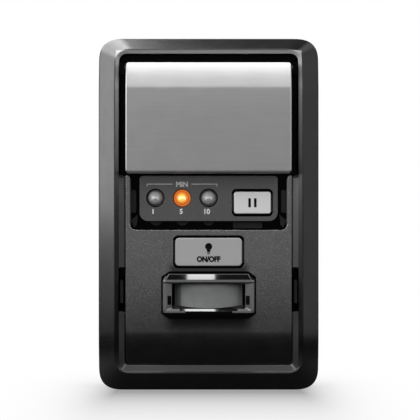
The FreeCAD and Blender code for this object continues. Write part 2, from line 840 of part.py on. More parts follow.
# Room at each side for the latches that come up from the rear housing
for side in (-1, 1):
    chassis.pocket(
        side * c.opening_width / 2, latch_z, c.chassis_back, chassis_front,
        4 * c.latch_thickness, c.latch_top - c.latch_bottom + 2 * c.latch_thickness, c.latch_thickness / 4,
    )
chassis_body = chassis.body
chassis_body.Label = "chassis_blank"
ear_bores = [
    cross_rod(
        f"ear_bore_{side}", side * ear_middle - c.ear_thickness, c.hinge_depth, c.hinge_z,
        2 * c.ear_thickness, c.pin_radius + c.pin_fit,
    )
    for side in (-1, 1)
]
drilled_chassis = cut_from("drilled_chassis", chassis_body, ear_bores)
drilled_chassis.Label = "inner_chassis"

chassis_screws = []
for number, (x, z) in enumerate(chassis_screw_places):
    shank = rod(
        f"chassis_screw_shank_{number}", x, z, c.housing_floor + c.tab_play, chassis_front, c.board_screw_radius
    )
    head = cone(
        f"chassis_screw_head_{number}", x, z, chassis_front, chassis_front + c.chassis_screw_head_height,
        c.chassis_screw_head, c.chassis_screw_head - c.screw_head_taper,
    )
    chassis_screws.append(joined(f"chassis_screw_{number}", [shank, head]))
group("chassis_screws", chassis_screws)


# Cover plate: bent along the same line as the frame, open round the timer recess

def make_cover():
    """The cover's shape, with its recess, button hole and sensor opening."""
    n = {alias: float(sheet.get(alias)) for alias in CELLS}
    half = n["ring_width"] / 2 - n["cover_gap"]
    bottom = n["ring_bottom"] - n["cover_gap"]
    front = n["ridge_depth"] - n["cover_drop"]
    back = front - n["cover_thickness"]
    top = n["cover_top"]
    far = 80.0
    reach = n["ridge_top"]
    sheet_shape = column((half, reach, bottom, n["cover_corner"], front), -n["cover_thickness"], 0)
    solid = sheet_shape.cut(block(far, -far, far, top, far * 2))
    recess = rounded_block(
        n["recess_width"] / 2, back - 1, front + 1, -n["recess_bottom"], top + n["recess_corner"] * 2,
        n["recess_corner"],
    )
    hole_half = n["light_width"] / 2 + n["light_gap"]
    hole_tall = n["light_height"] / 2 + n["light_gap"]
    button_hole = rounded_block(
        hole_half, back - 1, front + 1, n["light_z"] - hole_tall, n["light_z"] + hole_tall,
        n["light_corner"] + n["light_gap"] / 2,
    )
    sensor_hole = eight_sided(
        n["sensor_width"] + 2 * n["sensor_gap"], n["sensor_height"] + 2 * n["sensor_gap"], back - 1
    ).extrude(FreeCAD.Vector(0, -(n["cover_thickness"] + 2), 0))
    return solid.cut(recess).cut(button_hole).cut(sensor_hole).removeSplitter()


def eight_sided(width, height, depth, chamfer_x=None, chamfer_z=None):
    """A rectangle with its corners cut off, about the sensor's middle, at one depth."""
    cut_x = c.sensor_chamfer_x.number if chamfer_x is None else chamfer_x
    cut_z = c.sensor_chamfer_z.number if chamfer_z is None else chamfer_z
    half_w, half_h, middle = width / 2, height / 2, c.sensor_z.number
    corners = [
        (-half_w, -half_h + cut_z), (-half_w + cut_x, -half_h),
        (half_w - cut_x, -half_h), (half_w, -half_h + cut_z),
        (half_w, half_h - cut_z), (half_w - cut_x, half_h),
        (-half_w + cut_x, half_h), (-half_w, half_h - cut_z),
    ]
    points = [FreeCAD.Vector(x, -depth, middle + z) for x, z in corners]
    return Part.Face(Part.makePolygon(points + points[:1]))


cover = doc.addObject("Part::Feature", "front_cover")
cover.Shape = make_cover()
cover.Placement = FreeCAD.Placement()


# Timer panel: a raised cap in the recess

panel_height = c.panel_top + c.panel_bottom
panel_z = (c.panel_top - c.panel_bottom) / 2
hold_well_width = c.hold_width + 2 * c.hold_side_gap
hold_well_height = c.hold_height + 2 * c.hold_end_gap
panel = Moulding("timer_panel")
panel.pad(0, panel_z, chassis_front, c.panel_front, c.panel_width, panel_height, c.panel_corner)
panel.pocket(
    0, panel_z, chassis_front, panel_back,
    c.panel_width - 2 * c.panel_wall, panel_height - 2 * c.panel_wall, c.panel_corner - c.panel_wall,
)
for x in lamp_xs:
    panel.hole(x, c.lamp_z, panel_back, c.panel_front, c.lamp_well_radius)
panel.pocket(
    c.hold_x, c.hold_z, panel_back, c.panel_front, hold_well_width, hold_well_height,
    c.hold_corner + c.hold_side_gap,
)


# Indicator lamps on their spacers

lamp_base = board_front + c.spacer_height
leads = []
spacers = []
for name, x in zip(("one", "five", "ten"), lamp_xs):
    flange = rod(f"lamp_flange_{name}", x, c.lamp_z, lamp_base, lamp_base + c.lamp_flange_height, c.lamp_flange_radius)
    barrel = rod(f"lamp_barrel_{name}", x, c.lamp_z, lamp_base, c.lamp_tip - c.lamp_radius, c.lamp_radius)
    tip = doc.addObject("Part::Sphere", f"lamp_tip_{name}")
    bind(tip, "Radius", c.lamp_radius)
    place(tip, x, c.lamp_tip - c.lamp_radius, c.lamp_z)
    joined(f"lamp_{name}_minute", [flange, barrel, tip])
    tube = rod(f"spacer_tube_{name}", x, c.lamp_z, board_front, lamp_base, c.spacer_radius)
    bore = rod(f"spacer_bore_{name}", x, c.lamp_z, board_front, lamp_base, c.spacer_bore)
    spacers.append(cut_from(f"spacer_{name}", tube, [bore]))
    for side in (-1, 1):
        leads.append(
            rod(
                f"lead_{name}_{side}", x + side * c.lead_offset, c.lamp_z,
                c.board_back - c.lead_stub, lamp_base, c.lead_radius,
            )
        )
group("lamp_spacers", spacers)
group("lamp_leads", leads)


# Front buttons: a cap, two tabs that keep it behind its hole, and a stem to its rubber dome

def make_button(name, x, z, width, height, corner, front, hole_back, reach):
    """A button that slides in the hole whose back face is at hole_back, with tabs that reach past its cap."""
    button = Moulding(name)
    button.pad(x, z, front - c.button_body, front, width, height, corner)
    tab_front = hole_back - c.tab_play
    button.pad(
        x, z, tab_front - c.tab_thickness, tab_front,
        width + 2 * reach, height - 2 * c.tab_inset, c.button_edge,
    )
    button.post(x, z, stem_tip, tab_front - c.tab_thickness, c.stem_radius)
    button.soften(c.button_edge, lambda edge: at_depth(edge, front))
    return button


make_button(
    "hold_open_button", c.hold_x, c.hold_z, c.hold_width, c.hold_height, c.hold_corner,
    c.hold_front, panel_back, c.hold_side_gap + c.hold_tab_reach,
)
make_button(
    "light_button", as_size(0), c.light_z, c.light_width, c.light_height, c.light_corner,
    c.light_front, cover_back, c.light_gap + c.light_tab_reach,
)

learn = Moulding("learn_button")
learn_flange_front = c.chassis_back - c.tab_play
learn.post(
    c.learn_x, c.learn_z, learn_flange_front - c.learn_flange, learn_flange_front,
    c.learn_radius + c.learn_lip,
)
learn.post(c.learn_x, c.learn_z, learn_flange_front, c.learn_front, c.learn_radius)
learn.soften(c.button_edge, lambda edge: at_depth(edge, c.learn_front))


# Rubber domes on the board, one under each button and the push bar

def make_dome(name, x, z, top):
    """A hollow cone of rubber that gives way under a stem."""
    outside = cone(f"{name}_outside", x, z, board_front, top, c.dome_radius, c.dome_top_radius)
    inside = cone(
        f"{name}_inside", x, z, board_front, top - c.dome_wall,
        c.dome_radius - c.dome_wall, c.dome_top_radius - c.dome_wall,
    )
    return cut_from(name, outside, [inside])


make_dome("push_bar_dome", as_size(0), c.bar_stem_z, dome_top)
make_dome("light_button_dome", as_size(0), c.light_z, dome_top)
make_dome("hold_button_dome", c.hold_x, c.hold_z, dome_top)
learn_dome_top = learn_flange_front - c.learn_flange - c.dome_gap / 2
make_dome("learn_button_dome", c.learn_x, c.learn_z, learn_dome_top)


# Push bar: a hollow cap that hangs from two pins at its top

def side_profile(name, points, width):
    """A solid with a side view given as depths and heights, as wide as asked about the middle."""
    sketch = doc.addObject("Sketcher::SketchObject", f"{name}_side_view")
    place(sketch, -(width / 2), 0, 0)
    sketch.Placement.Rotation = FreeCAD.Rotation(
        FreeCAD.Vector(0, -1, 0), FreeCAD.Vector(0, 0, 1), FreeCAD.Vector(-1, 0, 0), "XYZ"
    )
    count = len(points)
    for index in range(count):
        start, end = points[index], points[(index + 1) % count]
        sketch.addGeometry(
            Part.LineSegment(
                FreeCAD.Vector(start[0].number, start[1].number), FreeCAD.Vector(end[0].number, end[1].number)
            )
        )
    for index, (depth, height) in enumerate(points):
        sketch.addConstraint(Sketcher.Constraint("Coincident", index - 1 if index else count - 1, 2, index, 1))
        for axis, value in (("X", depth), ("Y", height)):
            number = sketch.addConstraint(
                Sketcher.Constraint(f"Distance{axis}", -1, 1, index, 1, value.number)
            )
            sketch.renameConstraint(number, f"point_{index}_{axis}")
            bind(sketch, f"Constraints.point_{index}_{axis}", value)
    solid = doc.addObject("Part::Extrusion", name)
    solid.Base = sketch
    solid.DirMode = "Custom"
    solid.Dir = FreeCAD.Vector(1, 0, 0)
    solid.Solid = True
    bind(solid, "LengthFwd", width)
    return solid


bar_outside = side_profile(
    "bar_outside",
    [
        (c.bar_back, c.bar_bottom),
        (c.bar_front, c.bar_bottom),
        (c.bar_front, c.bar_bend),
        (c.bar_top_front, c.bar_top),
        (c.bar_top_back, c.bar_top),
        (c.bar_back, c.bar_bend),
    ],
    c.bar_width,
)
bar_inside = side_profile(
    "bar_inside",
    [
        (c.bar_back - c.bar_wall, c.bar_bottom + c.bar_wall),
        (c.bar_front - c.bar_wall, c.bar_bottom + c.bar_wall),
        (c.bar_front - c.bar_wall, c.bar_bend - c.bar_wall / 2),
        (c.bar_top_front - c.bar_wall, c.bar_top - c.bar_wall),
        (c.bar_back - c.bar_wall, c.bar_top - c.bar_wall),
    ],
    c.bar_width - 2 * c.bar_wall,
)
doc.recompute()


def front_edges(shape):
    """The bar's outer edges, with the radius of each: the foot is rounder than the rest."""
    chosen = []
    for number, edge in enumerate(shape.Edges, start=1):
        middle = edge.CenterOfMass
        across = abs(edge.Vertexes[0].Point.x - edge.Vertexes[-1].Point.x) > 1
        ahead = -middle.y > (c.bar_back.number + c.bar_front.number) / 2
        if across and ahead and middle.z < c.bar_bend.number - 1:
            chosen.append((number, c.bar_foot_edge.number, c.bar_foot_edge.number))
        elif not across and ahead:
            chosen.append((number, c.bar_edge.number, c.bar_edge.number))
        elif across and ahead and middle.z > c.bar_bend.number + 1:
            chosen.append((number, c.bar_edge.number, c.bar_edge.number))
    return chosen


bar_round = doc.addObject("Part::Fillet", "bar_round")
bar_round.Base = bar_outside
bar_round.Edges = front_edges(bar_outside.Shape)
bar_stem = rod("bar_stem", 0, c.bar_stem_z, stem_tip, c.bar_front - c.bar_wall, c.bar_stem_radius)
pin_reach = c.ear_gap + c.ear_thickness + c.bar_wall
pin_starts = {"left": -(c.bar_width / 2 + c.ear_gap + c.ear_thickness), "right": c.bar_width / 2 - c.bar_wall}
bar_bores = []
for hand, start in pin_starts.items():
    cross_rod(f"hinge_pin_{hand}", start, c.hinge_depth, c.hinge_z, pin_reach, c.pin_radius)
    bar_bores.append(cross_rod(f"bar_bore_{hand}", start, c.hinge_depth, c.hinge_z, pin_reach, c.pin_radius))
bar_shell = cut_from("bar_shell", bar_round, [bar_inside])
bar_drilled = cut_from("bar_drilled", bar_shell, bar_bores)
joined("push_bar", [bar_drilled, bar_stem])


# Sensor housing: an eight-sided hood round the lens, with a catch window on each side

def make_sensor_housing():
    """The hood's shape: a straight base, four sloping sides, a rim and a funnel to the lens."""
    n = {alias: float(sheet.get(alias)) for alias in CELLS}
    base_back = n["chassis_back"] + n["chassis_floor"]
    cover_face = n["ridge_depth"] - n["cover_drop"]
    outer = eight_sided(n["sensor_width"], n["sensor_height"], base_back)
    straight = outer.extrude(FreeCAD.Vector(0, base_back - cover_face, 0))
    shoulder = eight_sided(n["sensor_width"], n["sensor_height"], cover_face)
    small = n["rim_chamfer"]
    rim = eight_sided(n["sensor_rim_width"], n["sensor_rim_height"], n["sensor_front"], small, small)
    hood = Part.makeLoft([shoulder.OuterWire, rim.OuterWire], True, True)
    well_half = n["lens_width"] / 2 + n["lens_gap"]
    well_tall = n["lens_height"] / 2 + n["lens_gap"]
    middle = n["sensor_z"]
    well = block(well_half, base_back - 1, n["sensor_front"] + 1, middle - well_tall, middle + well_tall)
    mouth = eight_sided(
        n["sensor_rim_width"] - 2 * n["sensor_rim"], n["sensor_rim_height"] - 2 * n["sensor_rim_end"],
        n["sensor_front"], small, small,
    )
    throat_depth = n["lens_front"] - n["lens_radius"] + math.sqrt(n["lens_radius"] ** 2 - well_half ** 2)
    throat = eight_sided(2 * well_half, 2 * well_tall, throat_depth, small, small)
    funnel = Part.makeLoft([throat.OuterWire, mouth.OuterWire], True, True)
    solid = straight.fuse(hood).cut(well).cut(funnel)
    window_half = n["sensor_rim_width"] / 2 - n["sensor_rim"]
    window = block(
        window_half, throat_depth - n["catch_window_reach"], n["sensor_front"] - n["catch_window_lip"],
        middle - n["catch_window_height"], middle,
    )
    return solid.cut(window).removeSplitter()


sensor = doc.addObject("Part::Feature", "sensor_housing")
sensor.Shape = make_sensor_housing()
sensor.Placement = FreeCAD.Placement()


def make_lens():
    """A curved sheet, bowed out to the front, with a foot at each side that stands on the chassis."""
    n = {alias: float(sheet.get(alias)) for alias in CELLS}
    half = n["lens_width"] / 2
    radius = n["lens_radius"]
    centre_depth = n["lens_front"] - radius
    inner_radius = radius - n["lens_thickness"]
    inner_half = half - n["lens_thickness"]
    side_depth = centre_depth + math.sqrt(radius ** 2 - half ** 2)
    inner_side = centre_depth + math.sqrt(inner_radius ** 2 - inner_half ** 2)
    foot = n["chassis_back"] + n["chassis_floor"]
    bottom = n["sensor_z"] - n["lens_height"] / 2

    def point(x, depth):
        return FreeCAD.Vector(x, -depth, bottom)

    edges = [
        Part.Arc(point(-half, side_depth), point(0, n["lens_front"]), point(half, side_depth)).toShape(),
        Part.LineSegment(point(half, side_depth), point(half, foot)).toShape(),
        Part.LineSegment(point(half, foot), point(inner_half, foot)).toShape(),
        Part.LineSegment(point(inner_half, foot), point(inner_half, inner_side)).toShape(),
        Part.Arc(
            point(inner_half, inner_side), point(0, centre_depth + inner_radius), point(-inner_half, inner_side)
        ).toShape(),
        Part.LineSegment(point(-inner_half, inner_side), point(-inner_half, foot)).toShape(),
        Part.LineSegment(point(-inner_half, foot), point(-half, foot)).toShape(),
        Part.LineSegment(point(-half, foot), point(-half, side_depth)).toShape(),
    ]
    return Part.Face(Part.Wire(edges)).extrude(FreeCAD.Vector(0, 0, n["lens_height"]))


lens = doc.addObject("Part::Feature", "fresnel_lens")
lens.Shape = make_lens()
lens.Placement = FreeCAD.Placement()

can_front = board_front + c.can_height
can_flange = rod("can_flange", 0, c.sensor_z, board_front, board_front + c.can_flange_height, c.can_flange_radius)
can_barrel = rod("can_barrel", 0, c.sensor_z, board_front, can_front, c.can_radius)
joined("sensor_can", [can_flange, can_barrel])
box(
    "sensor_window", 0, c.sensor_z, can_front, can_front + c.window_thickness, c.window_width, c.window_height,
)


# Wire terminals on the back of the board

terminal_back = c.board_back - c.block_depth
box("terminal_block", 0, c.block_z, terminal_back, c.board_back, c.block_width, c.block_height)
plates = []
terminals = []
plate_back = terminal_back - c.terminal_plate_thickness
for number, side in enumerate((-1, 1)):
    x = side * c.terminal_pitch / 2
    plates.append(
        box(
            f"terminal_plate_{number}", x, c.block_z, plate_back, terminal_back,
            c.terminal_plate, c.terminal_plate,
        )
    )
    head = rod(
        f"terminal_head_{number}", x, c.block_z, plate_back - c.terminal_head_height, plate_back,
        c.terminal_head_radius,
    )
    slot = box(
        f"terminal_slot_{number}", x, c.block_z, plate_back - c.terminal_head_height,
        plate_back - c.terminal_head_height / 2, 2 * c.terminal_head_radius, c.terminal_plate_thickness,
    )
    terminals.append(cut_from(f"terminal_screw_{number}", head, [slot]))
group("terminal_plates", plates)
group("terminal_screws", terminals)


# Parts soldered to the front of the board

box("controller_chip", c.chip_x, c.chip_z, board_front, board_front + c.chip_height, c.chip_size, c.chip_size)
rod(
    "reservoir_capacitor", c.capacitor_x, c.capacitor_z, board_front, board_front + c.capacitor_height,
    c.capacitor_radius,
)
box(
    "clock_crystal", c.chip_x - c.chip_size, c.chip_z - c.chip_size, board_front,
    board_front + c.crystal_height, c.crystal_length, c.crystal_width,
)
resistor_places = []
for column_number in range(2):
    for row_number in range(5):
        resistor_places.append(
            (
                c.chip_x - c.chip_size / 2 + column_number * c.resistor_pitch_x,
                c.chip_z - c.chip_size - (row_number + 1) * c.resistor_pitch_z,
            )
        )
resistors = [
    box(
        f"chip_resistor_{number}", x, z, board_front, board_front + c.resistor_height,
        c.resistor_length, c.resistor_width,
    )
    for number, (x, z) in enumerate(resistor_places)
]
group("chip_resistors", resistors)
diodes = [
    box(
        f"diode_{number}", c.capacitor_x + c.diode_offset + number * c.diode_pitch,
        c.capacitor_z, board_front, board_front + c.diode_height, c.diode_width, c.diode_length,
    )
    for number in range(4)
]
group("rectifier_diodes", diodes)
box(
    "locator_lamp", c.locator_lamp_x, c.light_z, board_front, board_front + c.resistor_height,
    c.resistor_length, c.resistor_width,
)

doc.recompute()

NODES = [
    "bezel_frame", "rear_housing", "front_cover", "inner_chassis", "timer_panel", "circuit_board",
    "board_screws", "chassis_screws", "push_bar", "hinge_pin_left", "hinge_pin_right",
    "push_bar_dome", "light_button", "light_button_dome", "hold_open_button", "hold_button_dome",
    "learn_button", "learn_button_dome", "lamp_one_minute", "lamp_five_minute", "lamp_ten_minute",
    "lamp_spacers", "lamp_leads", "sensor_housing", "fresnel_lens", "sensor_can", "sensor_window",
    "terminal_block", "terminal_plates", "terminal_screws", "controller_chip", "reservoir_capacitor",
    "clock_crystal", "chip_resistors", "rectifier_diodes", "locator_lamp",
]


def check_document():
    """Stop if any object of the document failed."""
    for item in doc.Objects:
        if "Invalid" in item.State or "Error" in item.State:
            raise RuntimeError(f"{item.Label} is {item.State}")


def export():
    """Write each named piece to a file of its own."""
    os.makedirs("parts", exist_ok=True)
    for label in NODES:
        found = doc.getObjectsByLabel(label)
        shape = found[0].Shape
        if shape.isNull() or not shape.isValid():
            raise RuntimeError(f"{label} has no valid shape")
        solids = len(shape.Solids)
        print(f"{label}: {solids} solid(s), {shape.Volume:.1f} mm3")
        shape.exportStep(f"parts/{label}.step")


check_document()
export()
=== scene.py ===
"""Looks for a wall control with a motion sensor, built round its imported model.

Sizes are in millimetres here and turn into metres when a mesh is made; only the studio is laid out
in metres. X is right, Z is up, and a depth is the distance in front of the wall, so it runs along
minus Y. A rounded line is given by its half width, top, bottom and corner radius.
"""

import logging
import math
from collections.abc import Iterable, Iterator, Mapping, Sequence
from contextlib import contextmanager
from dataclasses import astuple, dataclass
from enum import Enum
from typing import Any

import bmesh
import bpy
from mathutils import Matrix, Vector


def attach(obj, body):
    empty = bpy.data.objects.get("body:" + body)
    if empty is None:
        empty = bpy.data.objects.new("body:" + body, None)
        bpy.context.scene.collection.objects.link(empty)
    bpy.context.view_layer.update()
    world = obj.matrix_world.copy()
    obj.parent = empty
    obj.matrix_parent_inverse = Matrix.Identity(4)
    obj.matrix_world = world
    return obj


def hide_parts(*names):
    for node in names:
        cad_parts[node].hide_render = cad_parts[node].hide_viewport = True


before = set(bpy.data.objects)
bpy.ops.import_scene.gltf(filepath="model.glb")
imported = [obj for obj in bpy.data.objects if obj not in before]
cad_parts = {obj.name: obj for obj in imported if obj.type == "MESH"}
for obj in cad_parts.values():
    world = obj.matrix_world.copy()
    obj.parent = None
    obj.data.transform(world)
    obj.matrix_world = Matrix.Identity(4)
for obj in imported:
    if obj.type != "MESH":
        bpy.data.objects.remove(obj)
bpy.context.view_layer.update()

MM = 0.001
log = logging.getLogger("wall_control")

Colour = tuple[float, float, float]
Flat = tuple[float, float]
Point = tuple[float, float, float]
Rounded = tuple[float, float, float, float]


# Shader maths


class Value:
    """A number that varies over a surface, so that sums on it are written as Python."""

    def __init__(self, tree: "Tree", socket: bpy.types.NodeSocket) -> None:
        """Wrap a socket.

        Args:
            tree: The tree that new nodes go in.
            socket: The output that carries the number.
        """
        self.tree = tree
        self.socket = socket

    def math(self, operation: str, first: Any, second: Any = 0.0, clamp: bool = False) -> "Value":
        """Add one Math node.

        Args:
            operation: The node's operation.
            first: A number or a Value.
            second: A number or a Value.
            clamp: Whether the result is kept between 0 and 1.

        Returns:
            The result as a Value.
        """
        settings = {"operation": operation, "use_clamp": clamp}
        made = self.tree.node("ShaderNodeMath", settings, {0: first, 1: second})
        return Value(self.tree, made.outputs[0])

    def __add__(self, other: Any) -> "Value":
        """Sum."""
        return self.math("ADD", self, other)

    def __sub__(self, other: Any) -> "Value":
        """Difference."""
        return self.math("SUBTRACT", self, other)

    def __mul__(self, other: Any) -> "Value":
        """Product."""
        return self.math("MULTIPLY", self, other)

    def __truediv__(self, other: Any) -> "Value":
        """Quotient."""
        return self.math("DIVIDE", self, other)

    def __pow__(self, other: Any) -> "Value":
        """Power."""
        return self.math("POWER", self, other)

    def __rsub__(self, other: Any) -> "Value":
        """Difference, with the number first."""
        return self.math("SUBTRACT", other, self)

    def __rtruediv__(self, other: Any) -> "Value":
        """Quotient, with the number first."""
        return self.math("DIVIDE", other, self)

    __radd__ = __add__
    __rmul__ = __mul__

    def __abs__(self) -> "Value":
        """Size without sign."""
        return self.math("ABSOLUTE", self)

    def floor(self) -> "Value":
        """The whole number under the value."""
        return self.math("FLOOR", self)

    def above_zero(self) -> "Value":
        """The value where it is positive, else 0."""
        return self.math("MAXIMUM", self, 0.0)

    def clamped(self) -> "Value":
        """The value kept between 0 and 1."""
        return self.math("ADD", self, 0.0, clamp=True)

    def wave(self) -> "Value":
        """The sine of the value."""
        return self.math("SINE", self)

    def dying(self) -> "Value":
        """1 where the value is 0, and falling away exponentially from there."""
        return self.math("EXPONENT", self * -1.0)

    def fade(self, low: float, high: float) -> "Value":
        """A smooth step.

        Args:
            low: Where the step starts, at 0.
            high: Where it ends, at 1.

        Returns:
            The step as a Value.
        """
        inputs = {"Value": self, "From Min": low, "From Max": high}
        made = self.tree.node("ShaderNodeMapRange", {"interpolation_type": "SMOOTHSTEP"}, inputs)
        return Value(self.tree, made.outputs[0])


class Tree:
    """The nodes of one material or world."""

    def __init__(self, nodes: bpy.types.NodeTree) -> None:
        """Start with an empty tree.

        Args:
            nodes: The tree of a material or world.
        """
        self.nodes = nodes.nodes
        self.links = nodes.links
        self.nodes.clear()

    def node(
        self, kind: str, settings: Mapping[str, Any] | None = None, inputs: Mapping[Any, Any] | None = None
    ) -> bpy.types.Node:
        """Add a node, give it its settings, then its values and links.

        Args:
            kind: The node's type.
            settings: Its own settings.
            inputs: A number, colour, socket or Value for each socket, by name or index.

        Returns:
            The node.
        """
        made = self.nodes.new(kind)
        for name, setting in (settings or {}).items():
            setattr(made, name, setting)
        for name, entry in (inputs or {}).items():
            self.feed(made.inputs[name], entry)
        return made

    def feed(self, socket: bpy.types.NodeSocket, entry: Any) -> None:
        """Link a socket, or set the value that it holds.

        Args:
            socket: The input.
            entry: A number, colour, vector, socket or Value.
        """
        if isinstance(entry, Value):
            self.links.new(entry.socket, socket)
        elif isinstance(entry, bpy.types.NodeSocket):
            self.links.new(entry, socket)
        elif isinstance(entry, tuple) and socket.type == "RGBA":
            socket.default_value = (*entry, 1.0)
        else:
            socket.default_value = entry

    def place(self) -> bpy.types.NodeSocket:
        """The place on the piece, in metres, which moves with the piece."""
        return self.node("ShaderNodeTexCoord").outputs["Object"]

    def parts(self, vector: bpy.types.NodeSocket) -> tuple[Value, ...]:
        """The X, Y and Z of a vector."""
        made = self.node("ShaderNodeSeparateXYZ", None, {0: vector})
        return tuple(Value(self, part) for part in made.outputs)

    def axes(self) -> tuple[Value, Value, Value]:
        """The place on the piece as X, depth and Z, in millimetres."""
        across, along, up = self.parts(self.place())
        return across / MM, along / -MM, up / MM

    def noise(self, size: float, detail: float = 2.0, stretch: Point = (1.0, 1.0, 1.0)) -> Value:
        """Cloudy noise.

        Args:
            size: The size of its features, in millimetres.
            detail: How many finer layers it has.
            stretch: How many times longer a feature is along each axis.

        Returns:
            The noise, from 0 to 1.
        """
        place = self.node("ShaderNodeVectorMath", {"operation": "DIVIDE"}, {0: self.place(), 1: stretch})
        inputs = {"Vector": place.outputs[0], "Scale": 1.0 / (size * MM), "Detail": detail}
        return Value(self, self.node("ShaderNodeTexNoise", None, inputs).outputs[0])

    def mix(self, factor: Any, first: Any, second: Any) -> bpy.types.NodeSocket:
        """Blend two colours.

        Args:
            factor: A number or a Value, 0 for the first colour.
            first: A colour or a colour socket.
            second: A colour or a colour socket.

        Returns:
            The blended colour.
        """
        made = self.node("ShaderNodeMix", {"data_type": "RGBA"}, {0: factor, 6: first, 7: second})
        return made.outputs[2]

    def relief(self, height: Value, rise: float) -> bpy.types.NodeSocket:
        """Tilt the surface by a height.

        Args:
            height: The height, from 0 to 1.
            rise: What a height of 1 measures, in millimetres.

        Returns:
            The normal.
        """
        inputs = {"Strength": 1.0, "Distance": rise * MM, "Height": height}
        return self.node("ShaderNodeBump", None, inputs).outputs[0]


# Finishes


def scaled(colour: Colour, factor: float) -> Colour:
    """A colour made darker or lighter, with no part over 1."""
    return tuple(min(1.0, part * factor) for part in colour)


@dataclass(frozen=True)
class Finish:
    """A moulded, painted or bare surface: its colour, how it shines and what roughens it.

    Each band holds the two levels between which noise, or a slope, turns from nothing to its full effect.
    """

    name: str
    colour: Colour
    roughness: float = 0.4
    metallic: float = 0.0
    coat: float = 0.0
    coat_roughness: float = 0.1
    specular: float = 0.5
    cloud: float = 0.15
    cloud_size: float = 9.0
    smear: float = 0.06
    smear_size: float = 5.0
    grain: float = 0.0
    grain_size: float = 0.35
    grain_tint: float = 0.0
    dust: float = 0.0
    dust_size: float = 0.9
    dust_colour: Colour = (0.30, 0.29, 0.27)
    cloud_band: Flat = (0.3, 0.7)
    smear_band: Flat = (0.35, 0.7)
    grain_band: Flat = (0.52, 0.74)
    dust_band: Flat = (0.45, 0.8)
    dust_slope: Flat = (0.3, 1.0)

    def colour_map(self, tree: Tree) -> bpy.types.NodeSocket:
        """The colour, a little uneven over the surface, with grain in it and dust on what faces up.

        Args:
            tree: The material's nodes.

        Returns:
            The colour's socket.
        """
        clouds = tree.noise(self.cloud_size, 3.0).fade(*self.cloud_band)
        made = tree.mix(clouds, scaled(self.colour, 1.0 - self.cloud), scaled(self.colour, 1.0 + self.cloud))
        if self.grain_tint:
            grains = tree.noise(self.grain_size, 1.0).fade(*self.grain_band)
            made = tree.mix(grains, made, scaled(self.colour, 1.0 + self.grain_tint))
        if self.dust:
            normal = tree.node("ShaderNodeNewGeometry").outputs["Normal"]
            facing_up = tree.parts(normal)[2].fade(*self.dust_slope)
            specks = tree.noise(self.dust_size, 4.0).fade(*self.dust_band)
            made = tree.mix(facing_up * specks * self.dust, made, self.dust_colour)
        return made

    def roughness_map(self, tree: Tree) -> Value:
        """The roughness, with faint handling marks."""
        marks = tree.noise(self.smear_size, 4.0).fade(*self.smear_band)
        return marks * self.smear + (self.roughness - self.smear / 2)

    def normal_map(self, tree: Tree) -> bpy.types.NodeSocket | None:
        """The moulded-in grain, or nothing on a polished surface."""
        return tree.relief(tree.noise(self.grain_size, 2.0), self.grain) if self.grain else None

    def shader_inputs(self, tree: Tree) -> dict[str, Any]:
        """What goes into the surface's sockets.

        Args:
            tree: The material's nodes.

        Returns:
            A number, colour, socket or Value for each socket's name.
        """
        inputs = {
            "Base Color": self.colour_map(tree),
            "Roughness": self.roughness_map(tree),
            "Metallic": self.metallic,
            "Coat Weight": self.coat,
            "Coat Roughness": self.coat_roughness,
            "Specular IOR Level": self.specular,
        }
        normal = self.normal_map(tree)
        if normal is not None:
            inputs["Normal"] = normal
        return inputs

    def material(self) -> bpy.types.Material:
        """The material, made once.

        Returns:
            The material that bears the finish's name.
        """
        found = bpy.data.materials.get(self.name)
        if found:
            return found
        made = bpy.data.materials.new(self.name)
        made.use_nodes = True
        tree = Tree(made.node_tree)
        shader = tree.node("ShaderNodeBsdfPrincipled", None, self.shader_inputs(tree))
        tree.node("ShaderNodeOutputMaterial", None, {0: shader.outputs[0]})
        return made


@dataclass(frozen=True)
class Zone:
    """A place of another colour, mostly painted light or shade: inside a box in front view, nearer than a
    depth, from a height up.
    """

    colour: Colour
    floor: float = -10.0
    half_width: float = 100.0
    low: float = -100.0
    high: float = 100.0
    ramp: Flat = (-301.0, -300.0)
    soft: float = 0.1
    floor_soft: float = 0.1

    def share(self, tree: Tree, lean_from: float, lean_rate: float) -> Value:
        """How much of the place's colour shows.

        Args:
            tree: The material's nodes.
            lean_from: The height above which the surface leans back.
            lean_rate: How much nearer to the wall it gets for each millimetre above.

        Returns:
            1 inside and 0 outside, with soft edges.
        """
        across, depth, up = tree.axes()
        leaned = depth + (up - lean_from).above_zero() * lean_rate
        beside = (self.half_width - abs(across)).fade(0.0, self.soft)
        between = (up - self.low).fade(0.0, self.soft) * (self.high - up).fade(0.0, self.soft)
        nearer = leaned.fade(self.floor, self.floor + self.floor_soft)
        return beside * between * nearer * up.fade(*self.ramp)


@dataclass(frozen=True)
class ZonedFinish(Finish):
    """A finish with places of another colour: painted light and shade on most finishes, the pale face on the
    buttons.
    """

    zones: tuple[Zone, ...] = ()
    lean_from: float = 200.0
    lean_rate: float = 0.3057

    def colour_map(self, tree: Tree) -> bpy.types.NodeSocket:
        """The plain colour with that of every zone over it.

        Args:
            tree: The material's nodes.

        Returns:
            The colour's socket.
        """
        made = super().colour_map(tree)
        for zone in self.zones:
            made = tree.mix(zone.share(tree, self.lean_from, self.lean_rate), made, zone.colour)
        return made


